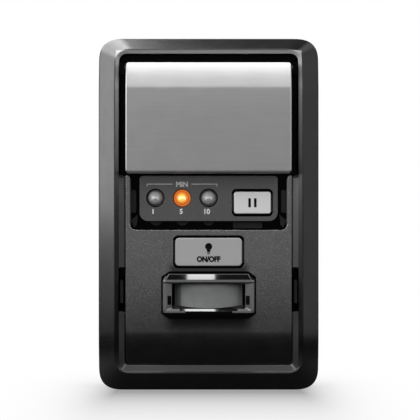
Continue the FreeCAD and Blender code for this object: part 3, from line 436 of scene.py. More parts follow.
@dataclass(frozen=True)
class BrushedSilver(Finish):
    """Silver paint with fine streaks from side to side."""

    streak_tint: float = 0.032
    streak_depth: float = 0.002
    colour_streaks: Flat = (0.22, 60.0)
    scratches: Flat = (0.16, 45.0)

    def streaks(self, tree: Tree, size_and_length: Flat) -> Value:
        """Noise drawn out along X, given its size and how many times longer it is."""
        return tree.noise(size_and_length[0], 3.0, (size_and_length[1], 1.0, 1.0))

    def colour_map(self, tree: Tree) -> bpy.types.NodeSocket:
        """Silver, streaked a little lighter and darker."""
        ends = (scaled(self.colour, 1.0 - self.streak_tint), scaled(self.colour, 1.0 + self.streak_tint))
        return tree.mix(self.streaks(tree, self.colour_streaks).fade(*self.cloud_band), *ends)

    def normal_map(self, tree: Tree) -> bpy.types.NodeSocket:
        """The streaks as fine scratches."""
        return tree.relief(self.streaks(tree, self.scratches), self.streak_depth)


@dataclass(frozen=True)
class LampResin(Finish):
    """Clear resin with the bright arc of its small reflector cup as a painted highlight, and painted shade
    towards the rim; sizes are shares of the radius.
    """

    centre: Flat = (0.0, 0.0)
    radius: float = 2.4
    lit: bool = False
    core: Colour = (1.0, 0.62, 0.10)
    rim: Colour = (0.62, 0.15, 0.02)
    spark: Colour = (1.0, 0.93, 0.62)
    glow: float = 0.85
    arc_drop: float = 0.55
    arc_radius: float = 0.62
    arc_line: Flat = (0.05, 0.2)
    arc_sides: Flat = (0.42, 0.6)
    arc_low: Flat = (-0.5, -0.2)
    cup_highlight_weight: float = 0.8
    cup_highlight_gain: float = 2.0
    rim_shade_gain: float = 0.85
    glow_band: Flat = (0.15, 0.85)
    rim_shade_band: Flat = (0.45, 1.0)

    def reach(self, tree: Tree) -> tuple[Value, Value]:
        """How far a place is from the lamp's middle, and where the cup's painted highlight goes.

        Args:
            tree: The material's nodes.

        Returns:
            The distance, and 1 on the arc and 0 elsewhere.
        """
        across, _, up = tree.axes()
        x = (across - self.centre[0]) / self.radius
        z = (up - self.centre[1]) / self.radius
        away = (x * x + z * z) ** 0.5
        sunk = z + self.arc_drop
        from_arc = abs((x * x + sunk * sunk) ** 0.5 - self.arc_radius)
        line = 1.0 - from_arc.fade(*self.arc_line)
        between = 1.0 - abs(x).fade(*self.arc_sides)
        return away, line * between * z.fade(*self.arc_low)

    def shader_inputs(self, tree: Tree) -> dict[str, Any]:
        """Resin with the cup's painted highlight and painted shade at its rim, or glowing if it is lit.

        Args:
            tree: The material's nodes.

        Returns:
            A number, colour, socket or Value for each socket's name.
        """
        inputs = super().shader_inputs(tree)
        away, arc = self.reach(tree)
        if self.lit:
            warm = tree.mix(away.fade(*self.glow_band), self.core, self.rim)
            inputs["Base Color"] = warm
            inputs["Emission Color"] = tree.mix(arc, warm, self.spark)
            inputs["Emission Strength"] = self.glow
        else:
            # Painted shade darkens the body towards the rim; the cup's painted highlight lightens the arc.
            body = tree.mix(away.fade(*self.rim_shade_band), self.colour, scaled(self.colour, self.rim_shade_gain))
            inputs["Base Color"] = tree.mix(arc * self.cup_highlight_weight, body, scaled(self.colour, self.cup_highlight_gain))
        return inputs


@dataclass(frozen=True)
class MilkyLens(Finish):
    """Milky film with the fine concentric grooves of a many-part lens pressed into it."""

    segment: float = 3.65
    groove: float = 0.32
    groove_depth: float = 0.03
    ring_middle: float = -26.0
    end_joint: float = -9.1
    joint_soft: float = 0.08
    end_shade: float = 0.5

    def colour_map(self, tree: Tree) -> bpy.types.NodeSocket:
        """The film, with painted shade on the left end segment."""
        inside = tree.axes()[0].fade(self.end_joint - self.joint_soft, self.end_joint + self.joint_soft)
        return tree.mix(inside, scaled(self.colour, self.end_shade), super().colour_map(tree))

    def normal_map(self, tree: Tree) -> bpy.types.NodeSocket:
        """Rings round the middle of each segment.

        Args:
            tree: The material's nodes.

        Returns:
            The normal.
        """
        across, _, up = tree.axes()
        count = across / self.segment + 0.5
        local = (count - count.floor() - 0.5) * self.segment
        tall = up - self.ring_middle
        away = (local * local + tall * tall) ** 0.5
        return tree.relief((away * (2 * math.pi / self.groove)).wave() * 0.5 + 0.5, self.groove_depth)


@dataclass(frozen=True)
class CircuitBoard(Finish):
    """Green lacquer over copper tracks; the rates are in radians a millimetre."""

    track: Colour = (0.06, 0.22, 0.07)
    pad: Colour = (0.55, 0.52, 0.42)
    lane_rate: float = 1.9
    bend_rates: Flat = (0.31, 0.23)
    bend_reach: float = 3.0
    lane_band: Flat = (0.35, 0.45)
    pad_rate: float = 2.474
    pad_band: Flat = (0.86, 0.92)
    patch_size: float = 11.0
    patch_band: Flat = (0.5, 0.52)

    def colour_map(self, tree: Tree) -> bpy.types.NodeSocket:
        """Tracks that show lighter under the lacquer, with rows of small pads.

        Args:
            tree: The material's nodes.

        Returns:
            The colour's socket.
        """
        across, _, up = tree.axes()
        bends = (up * self.bend_rates[0] + (across * self.bend_rates[1]).wave() * self.bend_reach).wave()
        lanes = ((across * self.lane_rate).wave() * bends).fade(*self.lane_band)
        pads = ((across * self.pad_rate).wave() * (up * self.pad_rate).wave()).fade(*self.pad_band)
        patches = tree.noise(self.patch_size, 1.0).fade(*self.patch_band)
        tracks = tree.mix(lanes, super().colour_map(tree), self.track)
        return tree.mix(pads * patches, tracks, self.pad)


HOOD_BLACK: Colour = (0.0030, 0.0030, 0.0033)
# Painted shade: the buttons' sides are near-black so that the gap round each cap reads dark; only the front
# face has the button's grey.
CAP_SIDES_PAINTED_SHADE: Colour = (0.01, 0.01, 0.01)


class Finishes(Enum):
    """Every finish on the control, but for those of the lamps, which hold their places."""

    # Painted light on the frame: a lighter painted sheen towards the foot, a pale painted highlight on the
    # inner bevels that grows towards the top, and a faint painted highlight on the strip round the cover.
    FRAME = ZonedFinish(
        "gloss_black_frame", (0.0040, 0.0040, 0.0044), roughness=0.25, coat=0.3, coat_roughness=0.16,
        smear=0.04, lean_from=42.0,
        zones=(
            Zone((0.035, 0.035, 0.0355), ramp=(-43.0, -52.0)),
            Zone((0.28, 0.28, 0.284), floor=15.4, half_width=31.15, low=-52.93, high=54.97, ramp=(0.0, 50.0)),
            Zone((0.06, 0.06, 0.061), floor=12.0, half_width=29.93, low=-52.55, high=12.5),
        ),
    )
    HOUSING = Finish(
        "matt_black_housing", (0.016, 0.016, 0.017), roughness=0.55, grain=0.02, grain_size=0.3, dust=0.10,
    )
    # Painted shadow on the cover: a soft dark patch under the sensor hood, and a smaller one between the
    # light button and the hood.
    COVER = ZonedFinish(
        "fine_textured_cover", (0.238, 0.238, 0.243), roughness=0.22, metallic=1.0, cloud=0.05,
        grain=0.005, grain_size=0.20, grain_tint=0.9, smear=0.03,
        zones=(
            Zone((0.045, 0.045, 0.046), half_width=17.0, low=-41.5, high=-27.0, soft=6.0),
            Zone((0.085, 0.085, 0.086), half_width=14.5, low=-24.0, high=-15.0, soft=3.0),
        ),
    )
    CHASSIS = Finish(
        "satin_black_chassis", (0.0010, 0.0010, 0.0011), roughness=0.20, specular=0.06, smear=0.05,
    )
    PANEL = Finish(
        "satin_grey_panel", (0.16, 0.16, 0.163), roughness=0.30, metallic=0.6, cloud=0.04,
        grain=0.004, grain_size=0.25, grain_tint=0.08,
    )
    BAR = BrushedSilver("brushed_silver_bar", (0.53, 0.53, 0.535), roughness=0.36, metallic=1.0, smear=0.03)
    # Both buttons: near-black painted shade on the cap sides, with the face's own grey in the zone.
    BUTTON = ZonedFinish(
        "pale_grey_button", CAP_SIDES_PAINTED_SHADE, roughness=0.32, coat=0.2, coat_roughness=0.15, cloud=0.02,
        grain=0.002, grain_size=0.3, zones=(Zone((0.97, 0.97, 0.965), floor=14.3),),
    )
    WIDE_BUTTON = ZonedFinish(
        "mid_grey_button", CAP_SIDES_PAINTED_SHADE, roughness=0.34, coat=0.15, coat_roughness=0.15, cloud=0.02,
        grain=0.002, grain_size=0.3, zones=(Zone((0.46, 0.46, 0.46), floor=16.3),),
    )
    LEARN = Finish("yellow_learn_button", (0.75, 0.46, 0.03), roughness=0.35, cloud=0.05)
    RUBBER = Finish("dome_rubber", (0.30, 0.30, 0.29), roughness=0.7, grain=0.01)
    # Painted light on the hood: a grey painted highlight on the front rim, with painted shade kept black in
    # the gap under the top rim and in the middle of the lower rim.
    HOOD = ZonedFinish(
        "gloss_black_hood", HOOD_BLACK, roughness=0.04, coat=0.2, coat_roughness=0.03, smear=0.01,
        zones=(
            Zone((0.15, 0.15, 0.152), floor=24.9, half_width=15.05, low=-32.60, high=-21.60),
            Zone(HOOD_BLACK, floor=24.0, half_width=15.05, low=-22.85, high=-22.32),
            Zone(HOOD_BLACK, floor=24.0, half_width=9.6, low=-31.98, high=-31.0),
            Zone(HOOD_BLACK, floor=24.0, half_width=7.9, low=-32.60, high=-31.90),
        ),
    )
    # Painted shade: near-black sheets that stand in for the dark inside the slot in each cheek of the hood.
    SLOT_SHADE = Finish("slot_painted_shade", (0.002, 0.002, 0.0022), roughness=0.5, specular=0.05, grain=0.004)
    LENS = MilkyLens(
        "milky_lens", (0.26, 0.265, 0.265), roughness=0.42, cloud=0.06, cloud_size=4.0, specular=0.35,
    )
    BOARD = CircuitBoard(
        "green_circuit_board", (0.012, 0.085, 0.030), roughness=0.28, coat=0.4, grain=0.004, grain_size=0.5,
    )
    STEEL = Finish(
        "bright_zinc_screws", (0.56, 0.55, 0.52), roughness=0.30, metallic=1.0, cloud=0.12, cloud_size=2.0,
    )
    PIN = Finish(
        "turned_steel_pins", (0.07, 0.07, 0.072), roughness=0.5, metallic=1.0, cloud=0.1, cloud_size=1.5,
    )
    TIN = Finish("tinned_leads", (0.62, 0.61, 0.60), roughness=0.22, metallic=1.0, cloud=0.1, cloud_size=0.6)
    CAN = Finish("nickel_can", (0.58, 0.56, 0.52), roughness=0.26, metallic=1.0, cloud=0.08, cloud_size=2.0)
    FILTER = Finish("dark_sensor_window", (0.010, 0.009, 0.010), roughness=0.08, coat=0.6)
    COMPONENT = Finish("black_components", (0.018, 0.018, 0.019), roughness=0.5, grain=0.01, grain_size=0.2)
    BRASS = Finish(
        "brass_plates", (0.62, 0.47, 0.24), roughness=0.28, metallic=1.0, cloud=0.12, cloud_size=2.0,
    )
    SLEEVE = Finish("capacitor_sleeve", (0.010, 0.022, 0.075), roughness=0.30, coat=0.3)
    WHITE_INK = Finish("white_print", (0.95, 0.95, 0.94), roughness=0.5, cloud=0.04, cloud_size=0.8)
    BLACK_INK = Finish(
        "black_print", (0.003, 0.003, 0.003), roughness=0.6, specular=0.08, cloud=0.3, cloud_size=0.8,
    )


# Making pieces


class Body(Enum):
    """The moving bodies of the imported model."""

    HOUSING = "housing"
    PUSH_BAR = "push_bar"
    LIGHT_BUTTON = "light_button"
    HOLD_BUTTON = "hold_open_button"
    LEARN_BUTTON = "learn_button"


def paint(piece: bpy.types.Object, finish: Finishes | Finish) -> None:
    """Give a piece its finish, and no other.

    Args:
        piece: The piece.
        finish: Its finish.
    """
    chosen = finish.value if isinstance(finish, Finishes) else finish
    piece.data.materials.clear()
    piece.data.materials.append(chosen.material())


def hold(
    piece: bpy.types.Object, finish: Finishes | Finish, body: Body, stands_for: Iterable[str] = ()
) -> None:
    """Dress a piece and tie it to its body.

    Args:
        piece: The new piece.
        finish: Its finish.
        body: The body that it moves with.
        stands_for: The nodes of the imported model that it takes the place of.
    """
    paint(piece, finish)
    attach(piece, body.value)
    stands_for = tuple(stands_for)
    if stands_for:
        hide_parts(*stands_for)
    log.info("%s: %d faces", piece.name, len(piece.data.polygons))


def put_in_scene(name: str, data: bpy.types.ID) -> bpy.types.Object:
    """Make an object of a mesh, a curve, a lamp or a camera.

    Args:
        name: The object's name.
        data: What it shows.

    Returns:
        The object, at the origin.
    """
    made = bpy.data.objects.new(name, data)
    bpy.context.scene.collection.objects.link(made)
    return made


@contextmanager
def editing(mesh: bpy.types.Mesh) -> Iterator[bmesh.types.BMesh]:
    """Open a mesh for changes, and write them back at the end.

    Args:
        mesh: The mesh.

    Yields:
        Its points, edges and faces.
    """
    work = bmesh.new()
    work.from_mesh(mesh)
    yield work
    work.to_mesh(mesh)
    work.free()


def merge_flat_faces(mesh: bpy.types.Mesh, distance: float, turn: float) -> None:
    """Merge points that lie together, then faces that lie in one plane.

    Args:
        mesh: The mesh.
        distance: How close the points are, in metres.
        turn: How much merged faces turn at most, in degrees.
    """
    with editing(mesh) as work:
        bmesh.ops.remove_doubles(work, verts=work.verts, dist=distance)
        bmesh.ops.dissolve_limit(work, angle_limit=math.radians(turn), verts=work.verts, edges=work.edges)


def shade(mesh: bpy.types.Mesh, sharp: float = 32.0) -> None:
    """Shade a mesh smooth, but for its sharper edges.

    Args:
        mesh: The mesh.
        sharp: Edges that turn by more than this stay sharp, in degrees.
    """
    limit = math.radians(sharp)
    with editing(mesh) as work:
        bmesh.ops.recalc_face_normals(work, faces=work.faces)
        for face in work.faces:
            face.smooth = True
        for edge in work.edges:
            edge.smooth = len(edge.link_faces) == 2 and edge.calc_face_angle(0.0) < limit


def flatten_broad_faces(piece: bpy.types.Object) -> None:
    """Let broad faces keep their own normals beside narrow rounded ones.

    Args:
        piece: The piece.
    """
    weighted = piece.modifiers.new("broad_faces", "WEIGHTED_NORMAL")
    weighted.keep_sharp = True
    weighted.weight = 80


def mesh_of(carrier: bpy.types.Object) -> bpy.types.Mesh:
    """Turn an object into the mesh that it shows.

    Args:
        carrier: A curve, a text or a piece with modifiers, which is removed.

    Returns:
        The mesh.
    """
    depsgraph = bpy.context.evaluated_depsgraph_get()
    mesh = bpy.data.meshes.new_from_object(carrier.evaluated_get(depsgraph))
    bpy.data.objects.remove(carrier, do_unlink=True)
    return mesh


def arc(centre: Flat, radius: float, first: float, last: float, steps: int) -> list[Flat]:
    """Points along an arc in front view.

    Args:
        centre: The X and Z of its middle.
        radius: Its radius.
        first: The direction of its first point, in degrees from the right.
        last: The direction of its last point.
        steps: How many faces it has.

    Returns:
        Its points, both ends included.
    """
    turns = [math.radians(first + (last - first) * step / steps) for step in range(steps + 1)]
    return [(centre[0] + radius * math.cos(turn), centre[1] + radius * math.sin(turn)) for turn in turns]


def circle(centre: Flat, radius: float, steps: int = 48) -> list[Flat]:
    """A circle's points in front view."""
    return arc(centre, radius, 0, 360, steps)[:-1]


def with_left(right: Sequence[Flat]) -> list[Flat]:
    """Points of a right half, then those of its mirror image, backwards."""
    return [*right, *((-x, z) for x, z in reversed(right))]


def with_lower(upper: Sequence[Flat]) -> list[Flat]:
    """Points of an upper half, then those of its mirror image, backwards."""
    return [*upper, *((x, -z) for x, z in reversed(upper))]


def round_box(
    width: float, height: float, corner: float, centre: Flat = (0.0, 0.0), upper: float | None = None
) -> list[Flat]:
    """A rectangle with round corners.

    Args:
        width: Its size along X.
        height: Its size along Z.
        corner: The radius of its corners.
        centre: The X and Z of its middle.
        upper: The radius of the upper two, where it is another.

    Returns:
        Its points, from the top of the right side round by the bottom.
    """
    points = []
    for quarter, (side, level) in enumerate(((1, 1), (1, -1), (-1, -1), (-1, 1))):
        radius = upper if upper and level > 0 else corner
        middle = (centre[0] + side * (width / 2 - radius), centre[1] + level * (height / 2 - radius))
        start = 90 - 90 * quarter
        points += arc(middle, radius, start, start - 90, 8)
    return points


class Shell:
    """Points and faces of one piece, in millimetres as X, depth and Z."""

    def __init__(self, name: str) -> None:
        """Start an empty shell.

        Args:
            name: The piece's name.
        """
        self.name = name
        self.points: list[Point] = []
        self.faces: list[tuple[int, ...]] = []

    def ring(self, points: Iterable[Point]) -> list[int]:
        """Add points.

        Args:
            points: Points in order.

        Returns:
            Their numbers.
        """
        start = len(self.points)
        self.points.extend(points)
        return list(range(start, len(self.points)))

    def bridge(self, first: Sequence[int], second: Sequence[int], closed: bool = True) -> None:
        """Join two rings by four-sided faces.

        Args:
            first: A ring.
            second: Another ring, of as many points.
            closed: Whether the last point is joined to the first.
        """
        count = len(first)
        for index in range(count if closed else count - 1):
            after = (index + 1) % count
            self.faces.append((first[index], first[after], second[after], second[index]))

    def skin(self, rings: Sequence[Sequence[int]], tube: bool = False) -> None:
        """Join each ring to the next one.

        Args:
            rings: The rings in order.
            tube: Whether the last one is joined to the first.
        """
        following = [*rings[1:], rings[0]] if tube else rings[1:]
        for first, second in zip(rings, following):
            self.bridge(first, second)

    def close(self, ring: Sequence[int]) -> None:
        """Close a ring by one flat face."""
        self.faces.append(tuple(ring))

    def close_across(self, ring: Sequence[int]) -> None:
        """Close a ring that is alike left and right by strips from side to side.

        Args:
            ring: Points that start at the top and go round, first and last being mirror images.
        """
        count = len(ring)
        for left in range(count // 2 - 1):
            right = count - 1 - left
            self.faces.append((ring[left], ring[left + 1], ring[right - 1], ring[right]))

    def lathe(self, profile: Sequence[Flat], centre: Flat) -> None:
        """Turn a profile about an axis that stands out from the wall.

        Args:
            profile: Radius and depth of each point, from the middle of the back to the middle of the front.
            centre: The axis's X and Z.
        """
        rings = [self.ring((x, depth, z) for x, z in circle(centre, radius)) for radius, depth in profile]
        self.skin(rings)
        self.close(rings[0])
        self.close(rings[-1])

    def piece(self, sharp: float = 32.0, weighted: bool = True) -> bpy.types.Object:
        """Make the object.

        Args:
            sharp: Edges that turn by more than this angle stay sharp, in degrees.
            weighted: Whether broad faces keep their own normals.

        Returns:
            The object, at the origin and in metres.
        """
        mesh = bpy.data.meshes.new(self.name)
        mesh.from_pydata([(x * MM, -depth * MM, z * MM) for x, depth, z in self.points], [], self.faces)
        shade(mesh, sharp)
        made = put_in_scene(self.name, mesh)
        if weighted:
            flatten_broad_faces(made)
        return made


def join(name: str, pieces: Sequence[bpy.types.Object]) -> bpy.types.Object:
    """Join meshes into one object.

    Args:
        name: The new object's name.
        pieces: Objects at the origin, whose modifiers are applied.

    Returns:
        The new object.
    """
    joined = bpy.data.meshes.new(name)
    with editing(joined) as work:
        for piece in pieces:
            mesh = mesh_of(piece)
            work.from_mesh(mesh)
            bpy.data.meshes.remove(mesh)
    return put_in_scene(name, joined)


def plate(
    name: str, outlines: Sequence[Sequence[Flat]], back: float, front: float, edge: float, steps: int = 2
) -> bpy.types.Object:
    """A flat plate with holes and softened edges.

    Args:
        name: The object's name.
        outlines: The outside and each hole, as X and Z.
        back: The depth of its back face.
        front: The depth of its front face.
        edge: How far its edges are rounded.
        steps: How finely they are rounded.

    Returns:
        The object, with its faces merged where they are flat.
    """
    curve = bpy.data.curves.new(name, "CURVE")
    curve.dimensions = "2D"
    curve.fill_mode = "BOTH"
    curve.extrude = ((front - back) / 2 - edge) * MM
    curve.bevel_depth = edge * MM
    curve.bevel_resolution = steps
    curve.offset = -edge * MM
    for outline in outlines:
        spline = curve.splines.new("POLY")
        spline.points.add(len(outline) - 1)
        for point, (x, z) in zip(spline.points, outline):
            point.co = (x * MM, z * MM, 0.0, 1.0)
        spline.use_cyclic_u = True
    mesh = mesh_of(put_in_scene(name, curve))
    middle = (front + back) / 2 * MM
    for vertex in mesh.vertices:
        x, z, out = vertex.co
        vertex.co = (x, -middle - out, z)
    merge_flat_faces(mesh, distance=1e-7, turn=0.5)
    shade(mesh)
    return put_in_scene(name, mesh)


def copy_of_node(node: str, edge: float) -> bpy.types.Object:
    """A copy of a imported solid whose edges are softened.

    Args:
        node: The node to copy.
        edge: How far its edges are rounded.

    Returns:
        The copy, named after the node.
    """
    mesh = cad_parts[node].data.copy()
    merge_flat_faces(mesh, distance=2e-6, turn=1.0)
    if mesh.has_custom_normals:
        mesh.attributes.remove(mesh.attributes["custom_normal"])
    shade(mesh)
    made = put_in_scene(f"{node}_dressed", mesh)
    bevel = made.modifiers.new("soft_edges", "BEVEL")
    bevel.width = edge * MM
    bevel.segments = 2
    bevel.limit_method = "ANGLE"
    bevel.angle_limit = math.radians(35.0)
    bevel.use_clamp_overlap = True
    bevel.harden_normals = False
    flatten_broad_faces(made)
    return made


# The outer frame


@dataclass(frozen=True)
class Lean:
    """How the two ends of the frame lean back to the wall."""

    bend_top: float = 42.0
    bend_bottom: float = 43.5
    angle: float = 17.0
    soft_top: float = 0.5
    soft_bottom: float = 4.5

    def drop(self, z: float) -> float:
        """How much nearer to the wall the front is at a height than in the middle.

        Args:
            z: The height.

        Returns:
            The difference in depth.
        """
        bend, soft = (self.bend_top, self.soft_top) if z > 0 else (self.bend_bottom, self.soft_bottom)
        past = abs(z) - bend
        slope = math.tan(math.radians(self.angle))
        if past <= -soft:
            return 0.0
        if past >= soft:
            return past * slope
        return slope * (past + soft) ** 2 / (4 * soft)

    def foot_levels(self, steps: int = 10) -> list[float]:
        """Heights at which the curved foot is divided."""
        return [-self.bend_bottom + self.soft_bottom * (2 * step / steps - 1) for step in range(steps + 1)]


@dataclass(frozen=True)
class Loop:
    """One closed line round the frame: a rectangle with round corners at a depth."""

    half: float
    top: float
    bottom: float
    corner: float
    depth: float
    lean: float = 1.0
    soft: float = 0.0

    def gap(self, other: "Loop") -> float:
        """How far apart two lines are at the sides."""
        return math.hypot(self.half - other.half, self.depth - other.depth)

    def towards(self, other: "Loop", share: float) -> "Loop":
        """The line part of the way to another one.

        Args:
            other: The other line.
            share: How much of the way.

        Returns:
            The line, which isn't rounded any more.
        """
        ends = zip(astuple(self)[:-1], astuple(other)[:-1])
        return Loop(*(start + (end - start) * share for start, end in ends))


def soften_loops(corners: Sequence[Loop], steps: int = 4, most: float = 0.45) -> list[Loop]:
    """Round the turns between lines where a line asks for it.

    Args:
        corners: The lines in order.
        steps: How many faces take the place of a turn.
        most: How much of the way to the next line a rounding takes at most.

    Returns:
        The lines with the rounded ones drawn out.
    """
    made = []
    for index, loop in enumerate(corners):
        if not loop.soft:
            made.append(loop)
            continue
        start, end = (
            loop.towards(near, min(most, loop.soft / loop.gap(near)))
            for near in (corners[index - 1], corners[index + 1])
        )
        for step in range(steps + 1):
            share = step / steps
            made.append(start.towards(loop, share).towards(loop.towards(end, share), share))
    return made


@dataclass
class OuterFrame:
    """The gloss black frame: sloping band, ridge, two bevels, ledge for the cover and latch pockets.

    The strip is what the second bevel and the ledge form along both sides, but not above the cover
    and not in the latch pockets, where the opening goes straight through.
    """

    lean: Lean = Lean()
    outside: Rounded = (37.0, 59.35, 59.35, 6.5)
    ridge: Rounded = (31.47, 55.3, 53.1, 4.8)
    ridge_inside: Rounded = (31.17, 55.0, 52.95, 4.5)
    opening: Rounded = (29.94, 53.76, 52.6, 2.6)
    second_bevel: Rounded = (28.1, 53.76, 50.4, 1.4)
    ledge: Rounded = (26.0, 53.76, 48.3, 1.0)
    cheek: Rounded = (31.7, 55.52, 54.36, 4.36)
    skirt: Rounded = (35.2, 57.55, 57.55, 4.7)
    back_depth: float = 1.0
    band_depth: float = 10.0
    ridge_depth: float = 19.0
    bevel_depths: Flat = (18.2, 16.9)
    ledge_depths: Flat = (14.7, 14.6)
    ledge_back_depths: Flat = (12.9, 12.4)
    hollow_depth: float = 3.0
    skirt_depth: float = 7.2
    strip_top: float = 12.5
    strip_slant: float = 0.5
    slant_reach: float = 9.0
    strip_rows: Flat = (-8.0, 3.0)
    open_rows: tuple[float, ...] = (13.3, 25.0, 38.0, 41.5, 41.75, 42.0, 42.25, 42.5, 45.0, 48.0, 50.0)
    foot_from: float = -47.5
    pocket_rows: Point = (-32.4, -25.0, -18.1)
    pocket_slant: float = 0.5
    corner_steps: int = 18
    corner_stretch: float = 1.336
    corner_power: float = 0.714
    end_shares: tuple[float, ...] = (0.999, 0.5, 0.0, -0.5, -0.999)

    def loops(self, strip: bool) -> list[Loop]:
        """The lines round the frame, from the outside of its back edge to the inside.

        Args:
            strip: True for the lines where the strip is, False for those where it isn't.

        Returns:
            As many lines either way.
        """
        inner = self.second_bevel if strip else self.opening
        ledge = self.ledge if strip else self.opening
        return soften_loops([
            Loop(*self.outside, self.back_depth, lean=0.0),
            Loop(*self.outside, self.band_depth, soft=0.7),
            Loop(*self.ridge, self.ridge_depth, soft=0.3),
            Loop(*self.ridge_inside, self.ridge_depth, soft=0.12),
            Loop(*self.opening, self.bevel_depths[0], soft=0.22),
            Loop(*inner, self.bevel_depths[1], soft=0.2),
            Loop(*inner, self.ledge_depths[0]),
            Loop(*ledge, self.ledge_depths[1]),
            Loop(*ledge, self.ledge_back_depths[0]),
            Loop(*self.opening, self.ledge_back_depths[1]),
            Loop(*self.opening, self.hollow_depth, lean=0.0),
            Loop(*self.cheek, self.hollow_depth, lean=0.0),
            Loop(*self.cheek, self.skirt_depth, lean=0.0),
            Loop(*self.skirt, self.skirt_depth, lean=0.0),
            Loop(*self.skirt, self.back_depth, lean=0.0),
        ])

    def side_heights(self) -> list[tuple[float, bool, float]]:
        """Heights of the points up one side.

        Returns:
            For each point its height, whether the strip is there, and how far its line slants.
        """
        foot = [z for z in self.lean.foot_levels() if z > self.foot_from]
        below = [*foot, self.pocket_rows[0] - self.pocket_slant]
        above = [self.pocket_rows[-1] + self.pocket_slant, *self.strip_rows]
        return [
            *((z, True, 0.0) for z in below),
            *((z, False, 0.0) for z in self.pocket_rows),
            *((z, True, 0.0) for z in above),
            (self.strip_top, True, self.strip_slant),
            *((z, False, 0.0) for z in self.open_rows),
        ]

    def leaned(self, line: Loop, x: float, z: float) -> Point:
        """A point of a line, leaned back where the frame leans."""
        return (x, line.depth - line.lean * self.lean.drop(z), z)

    def side(self, line: Loop, open_line: Loop, side: int) -> list[Point]:
        """The points up one side.

        Args:
            line: The line where the strip is.
            open_line: The line where it isn't.
            side: 1 for the right, -1 for the left.

        Returns:
            The points from the foot up.
        """
        made = []
        for z, strip, slant in self.side_heights():
            here = line if strip else open_line
            shift = slant * (self.outside[0] - here.half) / self.slant_reach
            made.append(self.leaned(here, side * here.half, z - shift))
        return made

    def corner(self, line: Loop, side: int, level: int, first: int) -> list[Point]:
        """The points of one corner, which is fuller than a quarter of a circle.

        Args:
            line: The line.
            side: 1 for the right, -1 for the left.
            level: 1 for the top, -1 for the foot.
            first: The direction that it starts from, in degrees.

        Returns:
            The points between its two ends.
        """
        squash = math.cos(math.radians(self.lean.angle))
        reach = line.top if level > 0 else line.bottom
        radius = line.corner * self.corner_stretch
        made = []
        for step in range(1, self.corner_steps):
            turn = math.radians(first + 90 * step / self.corner_steps)
            across = radius * (1.0 - abs(math.cos(turn)) ** self.corner_power)
            along = radius * squash * (1.0 - abs(math.sin(turn)) ** self.corner_power)
            made.append(self.leaned(line, side * (line.half - across), level * (reach - along)))
        return made

    def end(self, line: Loop, level: int) -> list[Point]:
        """The points across the top or the foot.

        Args:
            line: The line.
            level: 1 for the top, -1 for the foot.

        Returns:
            The points from right to left.
        """
        half = line.half - line.corner * self.corner_stretch
        z = line.top if level > 0 else -line.bottom
        return [self.leaned(line, share * half, z) for share in self.end_shares]

    def points(self, line: Loop, open_line: Loop) -> list[Point]:
        """The points all round, from the foot of the right side up.

        Args:
            line: The line where the strip is.
            open_line: The line where it isn't.

        Returns:
            The points as X, depth and Z.
        """
        return [
            *self.side(line, open_line, 1),
            *self.corner(open_line, 1, 1, 0),
            *self.end(open_line, 1),
            *self.corner(open_line, -1, 1, 90),
            *reversed(self.side(line, open_line, -1)),
            *self.corner(line, -1, -1, 180),
            *reversed(self.end(line, -1)),
            *self.corner(line, 1, -1, 270),
        ]

    def build(self) -> None:
        """Make the frame as one closed tube."""
        shell = Shell("outer_frame")
        pairs = zip(self.loops(True), self.loops(False))
        shell.skin([shell.ring(self.points(line, open_line)) for line, open_line in pairs], tube=True)
        hold(shell.piece(), Finishes.FRAME, Body.HOUSING, ["bezel_frame"])


# The cover plate, its recess and the timer panel


@dataclass
class FrontCover:
    """The textured plate, open round the recess, the light button and the sensor."""

    lean: Lean = Lean()
    half_width: float = 27.8
    top: float = 13.0
    bottom: float = -50.1
    front: float = 16.5
    thickness: float = 1.8
    corner: float = 1.2
    edge: float = 0.28
    recess_half: float = 26.3
    recess_bottom: float = -5.2
    recess_corner: float = 2.2
    arm_corner: float = 0.45
    light_hole: tuple[float, float, float] = (23.65, 10.77, 1.65)
    light_z: float = -12.56
    sensor_hole: Flat = (31.2, 15.5)
    sensor_cut: Flat = (2.4, 1.7)
    sensor_z: float = -27.0

    def outside(self) -> list[Flat]:
        """The plate's outline, with the recess as a notch in its top.

        Returns:
            Its points, from the top of the right arm round by the foot.
        """
        arm, large, corner = self.arm_corner, self.recess_corner, self.corner
        right = arc((self.half_width - arm, self.top - arm), arm, 90, 0, 8)
        right += arc((self.half_width - corner, self.bottom + corner), corner, 0, -90, 8)
        notch = arc((self.recess_half - large, self.recess_bottom + large), large, -90, 0, 8)
        notch += arc((self.recess_half + arm, self.top - arm), arm, 180, 90, 8)
        return with_left(right) + [(-x, z) for x, z in reversed(notch)] + notch

    def eight_sided(self) -> list[Flat]:
        """The outline of the sensor's opening.

        Returns:
            Its points, from the top right corner round by the foot.
        """
        width, height = self.sensor_hole[0] / 2, self.sensor_hole[1] / 2
        upper = [(width - self.sensor_cut[0], height), (width, height - self.sensor_cut[1])]
        return [(x, z + self.sensor_z) for x, z in with_left(with_lower(upper))]

    def build(self) -> None:
        """Cut the plate flat, then bend its foot back."""
        light_hole = round_box(*self.light_hole, (0.0, self.light_z))
        outlines = [self.outside(), light_hole, self.eight_sided()]
        piece = plate("front_cover_plate", outlines, self.front - self.thickness, self.front, self.edge)
        with editing(piece.data) as work:
            for level in self.lean.foot_levels():
                everything = [*work.verts, *work.edges, *work.faces]
                bmesh.ops.bisect_plane(work, geom=everything, plane_co=(0, 0, level * MM), plane_no=(0, 0, 1))
            for vertex in work.verts:
                vertex.co.y += self.lean.drop(min(vertex.co.z / MM, 0.0)) * MM
        shade(piece.data)
        flatten_broad_faces(piece)
        hold(piece, Finishes.COVER, Body.HOUSING, ["front_cover"])


